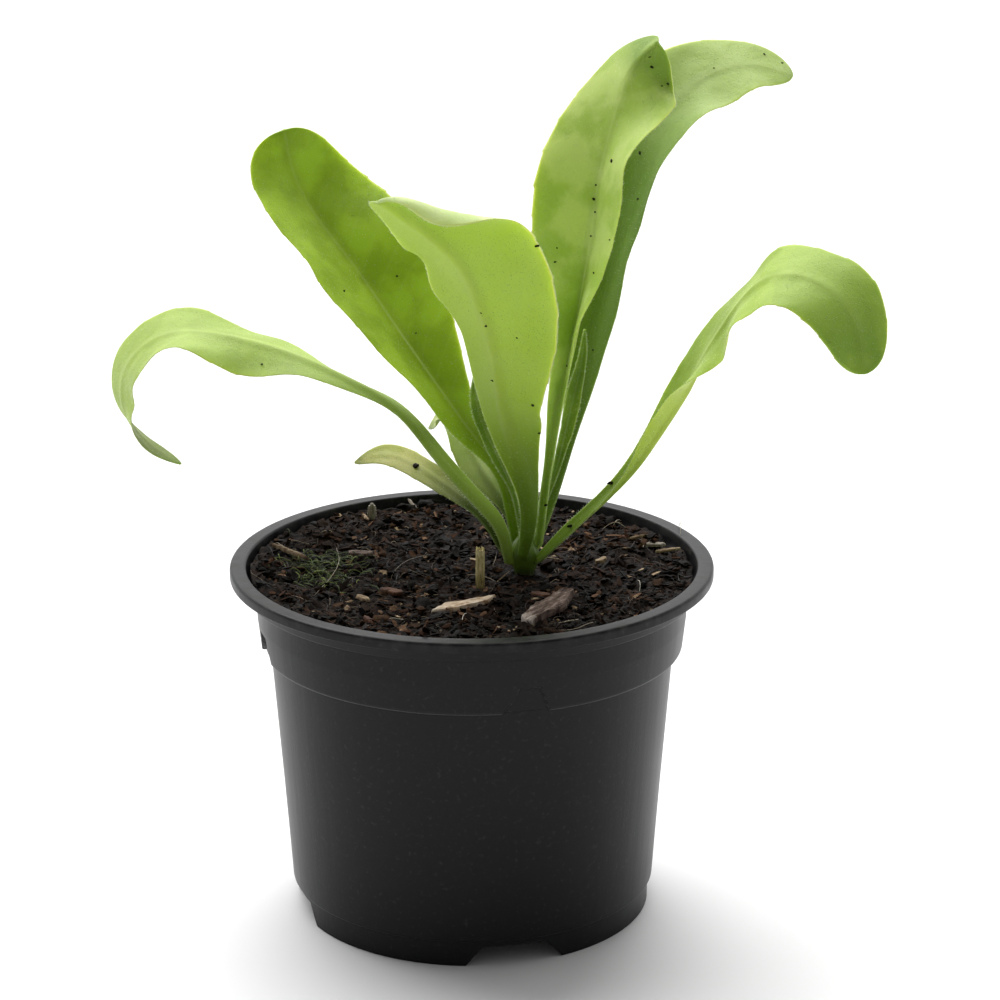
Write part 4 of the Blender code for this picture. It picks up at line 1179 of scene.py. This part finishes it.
LEAVES = {
    "leaf_far_left": leaf_form(
        14, 2.1, 0.27, 0.64,
        [
            (9.3, -2, 89.5, 30, -30), (7, -1.5, 98.4, 30, -30), (1.7, 0, 105, 30, -30),
            (-8.1, 4, 115.4, 35, -30), (-17.4, 11, 124.4, 50, -45), (-28.7, 17, 130.1, 53, -84),
            (-41, 24, 134.1, 52, -81), (-53.8, 30, 137.2, 39, -77), (-66.8, 35, 138.3, 70, -72),
            (-78.6, 39, 136.5, 63, -57), (-87.6, 42, 129.1, 64, -65), (-90.1, 43, 119.7, 65, -69),
            (-87.9, 42, 112.5, 86, -88), (-82.5, 40, 106.9, 102, -104), (-74.9, 37, 103.2, 110, -110),
        ],
        bluntness=2.0, roundness=0.7, fold=5, skin="far",
    ),
    "leaf_upper_left": leaf_form(
        19.5, 2.1, 0.10, 0.70,
        [
            (11, 4.6, 92.2, 45, 45), (7.5, 6, 108.8, 50, 40), (1.4, 9, 117.8, 38, 38),
            (-7.3, 14, 128.2, 58, 23), (-18.3, 21, 142.3, 61, 0), (-29, 28, 156.5, 62, 0),
            (-38.3, 33, 167.7, 62, -19), (-44.3, 36, 178.3, 51, -30), (-46.5, 35, 190.7, 20, -40),
        ],
        phase=1.5,
    ),
    "leaf_front": leaf_form(
        20.5, 2.2, 0.08, 0.72,
        [
            (12.6, -2.8, 91.4, -30, -30), (14, -6, 105.6, -20, -20), (10.8, -10, 120.8, -44, 0),
            (7.3, -15, 133.6, -63, 42), (4.9, -21, 148.9, -65, 38), (1.6, -26, 161.1, -66, 31),
            (-3.7, -30, 172.4, -74, 23, 0, 14), (-12.6, -34, 181.4, -82, 0, 0, 150),
            (-21, -38, 188.1, -88, 0, 0, 130),
        ],
        phase=0.5, upper_in_front=False, skin="front",
    ),
    "leaf_tall": leaf_form(
        17, 2.0, 0.12, 0.70,
        [
            (16.5, 1.6, 93.2, 50, 60), (18.6, 3, 109.2, 55, 70), (22, 4, 129.4, 48, 83),
            (26.1, 6, 147.9, 46, 99, 0, -20), (29.4, 8, 167.5, -10, 72), (31.6, 10, 183.2, -20, 74),
            (34.7, 12, 197, -42, 57), (38.4, 13, 209, -62, 6), (44.6, 10, 216.8, -80, -30),
        ],
        bluntness=2.8, phase=2.5, skin="light",
    ),
    "leaf_rear_right": leaf_form(
        15, 2.0, 0.12, 0.70,
        [
            (15.6, 3.7, 91.2, 0, 60), (22, 9, 108.6, 0, 60), (27, 12, 128.4, -10, 53),
            (31.9, 16, 146.6, -15, 66), (37.4, 21, 165.7, -20, 77), (43.1, 26, 180.2, -20, 80),
            (47.6, 30.5, 191.5, -22, 68), (55.5, 35.4, 201.2, -27, 49), (68.5, 39.4, 205.8, -43, 48),
            (80.5, 40, 203.1, -52, 48),
        ],
        bluntness=2.2, phase=4, fold=11, skin="rear",
    ),
    "leaf_right": leaf_form(
        14, 1.8, 0.10, 0.72,
        [
            (16.7, -0.9, 90, -20, 50), (26.6, -5, 101.3, -20, 60), (37.3, -10, 112.9, -30, 110),
            (44.2, -14, 123.5, -44, 128), (50.3, -18, 135.1, -54, 122), (54.6, -22, 145.3, -70, 100),
            (58.8, -26, 155.4, -83, 76), (63.3, -30, 163.6, -83, 79), (70.1, -35, 170.1, -63, 61),
            (78.7, -41, 170.6, -48, 41), (85.3, -45, 165.5, -37, 35), (88.7, -47, 158, -34, 29),
            (90.3, -48, 150.2, -30, 20),
        ],
        phase=5, fold=11, skin="right",
    ),
    "leaf_low_left": leaf_form(
        6, 1.7, 0.25, 0.60,
        [
            (8.7, 1.7, 90, 30, -30), (4.1, 3.5, 97.8, 40, -35), (-3.7, 7, 104.1, 55, -45),
            (-12.1, 11, 108.9, 60, -50), (-20.8, 14, 112.2, 62, -50), (-29.3, 16, 109.8, 60, -50),
        ],
        bluntness=2.0, roundness=0.7, rows=110, skin="yellowing",
    ),
    "leaf_low_rear": leaf_form(
        6, 1.5, 0.15, 0.60,
        [
            (12.9, 5.4, 89.6, 20, -20), (8.3, 10, 100.8, 20, -20), (2.1, 15, 109.2, 20, -20),
            (-2.4, 21, 116.8, 50, -30), (-6.5, 26, 119.1, 66, -50), (-10.8, 30, 114.7, 60, -60),
        ],
        bluntness=2.0, roundness=0.7, rows=90, skin="pale",
    ),
    "leaf_young_left": leaf_form(
        3.2, 0.9, 0.20, 0.60,
        [
            (12.3, 1, 96.2, 50, 50), (10, 1, 107.2, 50, 50), (5, 2, 118.5, 50, 50),
            (1.6, 2, 127.5, 50, 50), (0.9, 1, 137.7, 50, 50),
        ],
        bluntness=2.0, roundness=0.7, keel=1.2, rows=90, skin="young",
    ),
    "leaf_young_right": leaf_form(
        3, 0.9, 0.20, 0.60,
        [
            (13.9, 1.7, 95.4, 50, 50), (20.2, 7, 107.9, 50, 50), (23.9, 8, 123.2, 50, 50),
            (26.8, 9, 135.7, 50, 50), (27.9, 9, 146.1, 50, 50),
        ],
        bluntness=2.0, roundness=0.7, keel=1.2, rows=90, skin="young",
    ),
}

SKINS = {
    "grown": leaf_skin(
        "leaf_green", (0.32, 0.47, 0.024), (0.22, 0.34, 0.008), (0.36, 0.50, 0.04), (0.50, 0.64, 0.18),
        (0.16, 0.28, 0.006),
    ),
    # The front leaf's upper side, seen where its top bends back, is painted pale and whitish: a painted sheen
    "front": leaf_skin(
        "leaf_front_green", (0.52, 0.62, 0.28), (0.44, 0.55, 0.2), (0.31, 0.45, 0.02), (0.40, 0.54, 0.09),
        (0.08, 0.17, 0.003), (0.04, 0.6), 0.8,
    ),
    # The far left leaf's underside and tip are painted darker: painted shade
    "far": leaf_skin(
        "leaf_far_green", (0.34, 0.46, 0.09), (0.28, 0.39, 0.06), (0.15, 0.18, 0.03), (0.46, 0.57, 0.18),
        (0.19, 0.30, 0.025), (0.04, 0.32), 0.7, (0.84, 1.2),
    ),
    # A lighter, greyer copy of the green for the tall leaf: painted light
    "light": leaf_skin(
        "leaf_painted_light", (0.46, 0.58, 0.16), (0.31, 0.45, 0.06), (0.40, 0.55, 0.07), (0.55, 0.66, 0.24),
        (0.20, 0.34, 0.018), (0.04, 0.5), 0.62, (0.9, 0.95),
    ),
    # The rear right leaf is darkened far up from its foot, where the tall leaf shades it: painted shade
    "rear": leaf_skin(
        "leaf_rear", (0.38, 0.49, 0.15), (0.31, 0.42, 0.09), (0.36, 0.47, 0.09), (0.50, 0.62, 0.2),
        (0.09, 0.18, 0.003), (0.6, 0.9), 0.9,
    ),
    # The right leaf is darkened toward its tip: painted shade
    "right": leaf_skin(
        "leaf_right_green", (0.34, 0.47, 0.08), (0.26, 0.38, 0.04), (0.36, 0.47, 0.05), (0.46, 0.60, 0.16),
        (0.13, 0.24, 0.008), (0.04, 0.4), 0.62, (0.72, 1),
    ),
    # The two low leaves are darkened far up from their feet, where they lie in shade: painted shade
    "yellowing": leaf_skin(
        "leaf_yellowing", (0.58, 0.57, 0.19), (0.42, 0.46, 0.09), (0.38, 0.43, 0.09), (0.56, 0.59, 0.2),
        (0.045, 0.08, 0.003), (0.22, 0.9), 0.97,
    ),
    "pale": leaf_skin(
        "leaf_pale", (0.44, 0.52, 0.2), (0.33, 0.42, 0.11), (0.36, 0.45, 0.11), (0.5, 0.6, 0.25),
        (0.05, 0.095, 0.004), (0.1, 0.62), 0.92,
    ),
    "young": leaf_skin(
        "leaf_young", (0.20, 0.32, 0.03), (0.13, 0.23, 0.016), (0.24, 0.36, 0.05), (0.36, 0.48, 0.16),
    ),
}


# Hairs to the millimetre of margin and to the square millimetre of blade, and how many more a young leaf has
FRINGE_DENSITY, DOWN_DENSITY, YOUNG_DENSITY = 2.6, 0.8, 2.2
FRINGE_RADIUS, DOWN_RADIUS = 0.035, 0.022


def hairs(name, feet, ways, lengths, radius, material):
    """Many short tapering hairs in one piece, each a narrow spike with three sides and a foot."""
    ways = unit(ways)
    side = unit(np.cross(ways, (0.31, 0.57, 0.76)))
    over = np.cross(side, ways)
    turns = [math.tau * third / 3 for third in range(3)]
    corners = [feet + radius * (math.cos(turn) * side + math.sin(turn) * over) for turn in turns]
    points = np.stack([*corners, feet + ways * lengths[:, None]], axis=1).reshape(-1, 3)
    first = np.arange(len(feet))[:, None] * 4
    faces = np.concatenate([first + turn for turn in ((0, 1, 3), (1, 2, 3), (2, 0, 3), (2, 1, 0))])
    return shaped(name, points * MM, faces, material)


def whole_and_part(index, count):
    """These places among so many rows as the row before each and the share of the way to the next."""
    low = np.minimum(index.astype(int), count - 2)
    return low, (index - low)[:, None]


def make_hairs(surfaces):
    """Fine pale hairs: a fringe along the margins and a thin down over both faces."""
    material, shader, start = finish("leaf_hair")
    pale = blend(grain(start, 0.004), (0.62, 0.70, 0.48), (0.80, 0.84, 0.70))
    feed(start.tree, shader, {"Base Color": pale, "Roughness": 0.5})
    low, high = (np.array(corner) / MM for corner in BOX)
    fringe, down = [], []
    for node, surface in surfaces.items():
        grid, normals, forward = surface["grid"], surface["normals"], surface["forward"]
        rows, columns = grid.shape[:2]
        hairy = YOUNG_DENSITY if "young" in node else 1
        reach = surface["length"][-1]
        for column, inner in ((0, 1), (columns - 1, columns - 2)):
            count = int(reach * FRINGE_DENSITY * hairy)
            place = chance.uniform(0.04, 0.995, count) * reach
            row, part = whole_and_part(np.interp(place, surface["length"], np.arange(rows)), rows)
            feet = grid[row, column] * (1 - part) + grid[row + 1, column] * part
            out = unit(grid[row, column] - grid[row, inner])
            way = out + 0.5 * forward[row] + chance.normal(0, 0.35, (count, 3))
            fringe.append((feet - 0.03 * out, way, chance.uniform(0.3, 0.85, count)))
        area = float(np.sum(surface["width"][:-1] * 2 * np.diff(surface["length"])))
        count = int(area * DOWN_DENSITY * hairy)
        weight = surface["width"] * np.gradient(surface["length"])
        row = chance.choice(rows - 1, count, p=weight[:-1] / weight[:-1].sum())
        share = chance.uniform(-0.98, 0.98, count)
        spread = np.concatenate([-ACROSS[::-1], ACROSS[1:]])
        column, part = whole_and_part(np.interp(share, spread, np.arange(columns)), columns)
        feet = grid[row, column] * (1 - part) + grid[row, column + 1] * part
        side = np.where(chance.uniform(0, 1, count) < 0.5, 1, -1)[:, None]
        normal = normals[row, column] * side
        way = normal + 0.6 * forward[row] + chance.normal(0, 0.3, (count, 3))
        down.append((feet + normal * 0.15, way, chance.uniform(0.3, 0.75, count)))
    for name, groups, radius in (("margin_hairs", fringe, FRINGE_RADIUS), ("leaf_down", down, DOWN_RADIUS)):
        feet, ways, lengths = (np.concatenate([group[part] for group in groups]) for part in range(3))
        tips = feet + unit(ways) * lengths[:, None]
        inside = np.all((tips > low) & (tips < high), axis=1)
        piece = hairs(name, feet[inside], ways[inside], lengths[inside], radius, material)


make_hairs({node: make_leaf(node, leaf, SKINS[leaf["skin"]]) for node, leaf in LEAVES.items()})


# Specks of soil that splashed onto the leaves when the plant was potted, most of them along the tall leaf.
PICTURE_SIDE = 1000
SPECK_TONE = 0.2
# Across and down the picture, then length and width in millimetres
SPECKS = [
    (415, 466, 2.2, 1.5), (612, 483, 3, 0.9), (571, 526, 2.4, 0.9), (397, 276, 0.9, 0.6),
    (262, 364, 1.2, 0.5), (344, 291, 0.8, 0.6), (486, 326, 0.9, 0.6), (493, 381, 1, 0.5),
    (533, 405, 1, 0.7), (537, 246, 1.1, 0.7), (555, 262, 0.7, 0.5), (612, 161, 1.2, 0.8),
    (594, 199, 1, 0.8), (596, 185, 0.7, 0.5), (595, 212, 0.7, 0.5), (610, 240, 0.6, 0.5),
    (640, 153, 1, 0.7), (638, 199, 1.1, 0.7), (652, 67, 1, 0.7), (650, 57, 0.7, 0.4), (668, 84, 0.8, 0.6),
    (662, 86, 0.6, 0.4), (567, 366, 1.3, 0.5), (594, 273, 0.7, 0.5), (591, 236, 0.6, 0.5),
    (593, 350, 0.6, 0.5), (764, 54, 1, 0.5), (782, 63, 0.7, 0.5), (714, 68, 0.5, 0.4), (546, 505, 1, 0.7),
    (539, 433, 0.8, 0.6), (481, 313, 0.5, 0.4), (517, 338, 0.5, 0.4), (557, 248, 0.6, 0.4),
    (416, 333, 0.5, 0.4),
]


def make_specks():
    dirt = crumb_peat("leaf_dirt", [(0, (0.006, 0.005, 0.003)), (0.6, (0.02, 0.016, 0.009)),
                                    (1, (0.06, 0.05, 0.03))])
    bpy.context.view_layer.update()
    graph = bpy.context.evaluated_depsgraph_get()
    scale = FOCAL_LENGTH / SENSOR_WIDTH * PICTURE_SIDE
    places, sizes = [], []
    for across, down, length, width in SPECKS:
        way = Vector(((across - PICTURE_SIDE / 2) / scale, (PICTURE_SIDE / 2 - down) / scale, -1))
        way = (camera.matrix_world.to_3x3() @ way).normalized()
        start, item = Vector(VIEWPOINT), None
        for _ in range(12):
            found, place, normal, _, item, _ = bpy.context.scene.ray_cast(graph, start, way)
            if not found or item.name.startswith("blade"):
                break
            start = place + way * 0.02 * MM
        if item and item.name.startswith("blade"):
            places.append(place)
            sizes.append((length * MM, width * MM, 0.8 * width * MM))
    tones = np.full(len(places), SPECK_TONE)
    specks = strewn("soil_specks", np.array(places), np.array(sizes), dirt, tones, 2, 0.6)


make_specks()
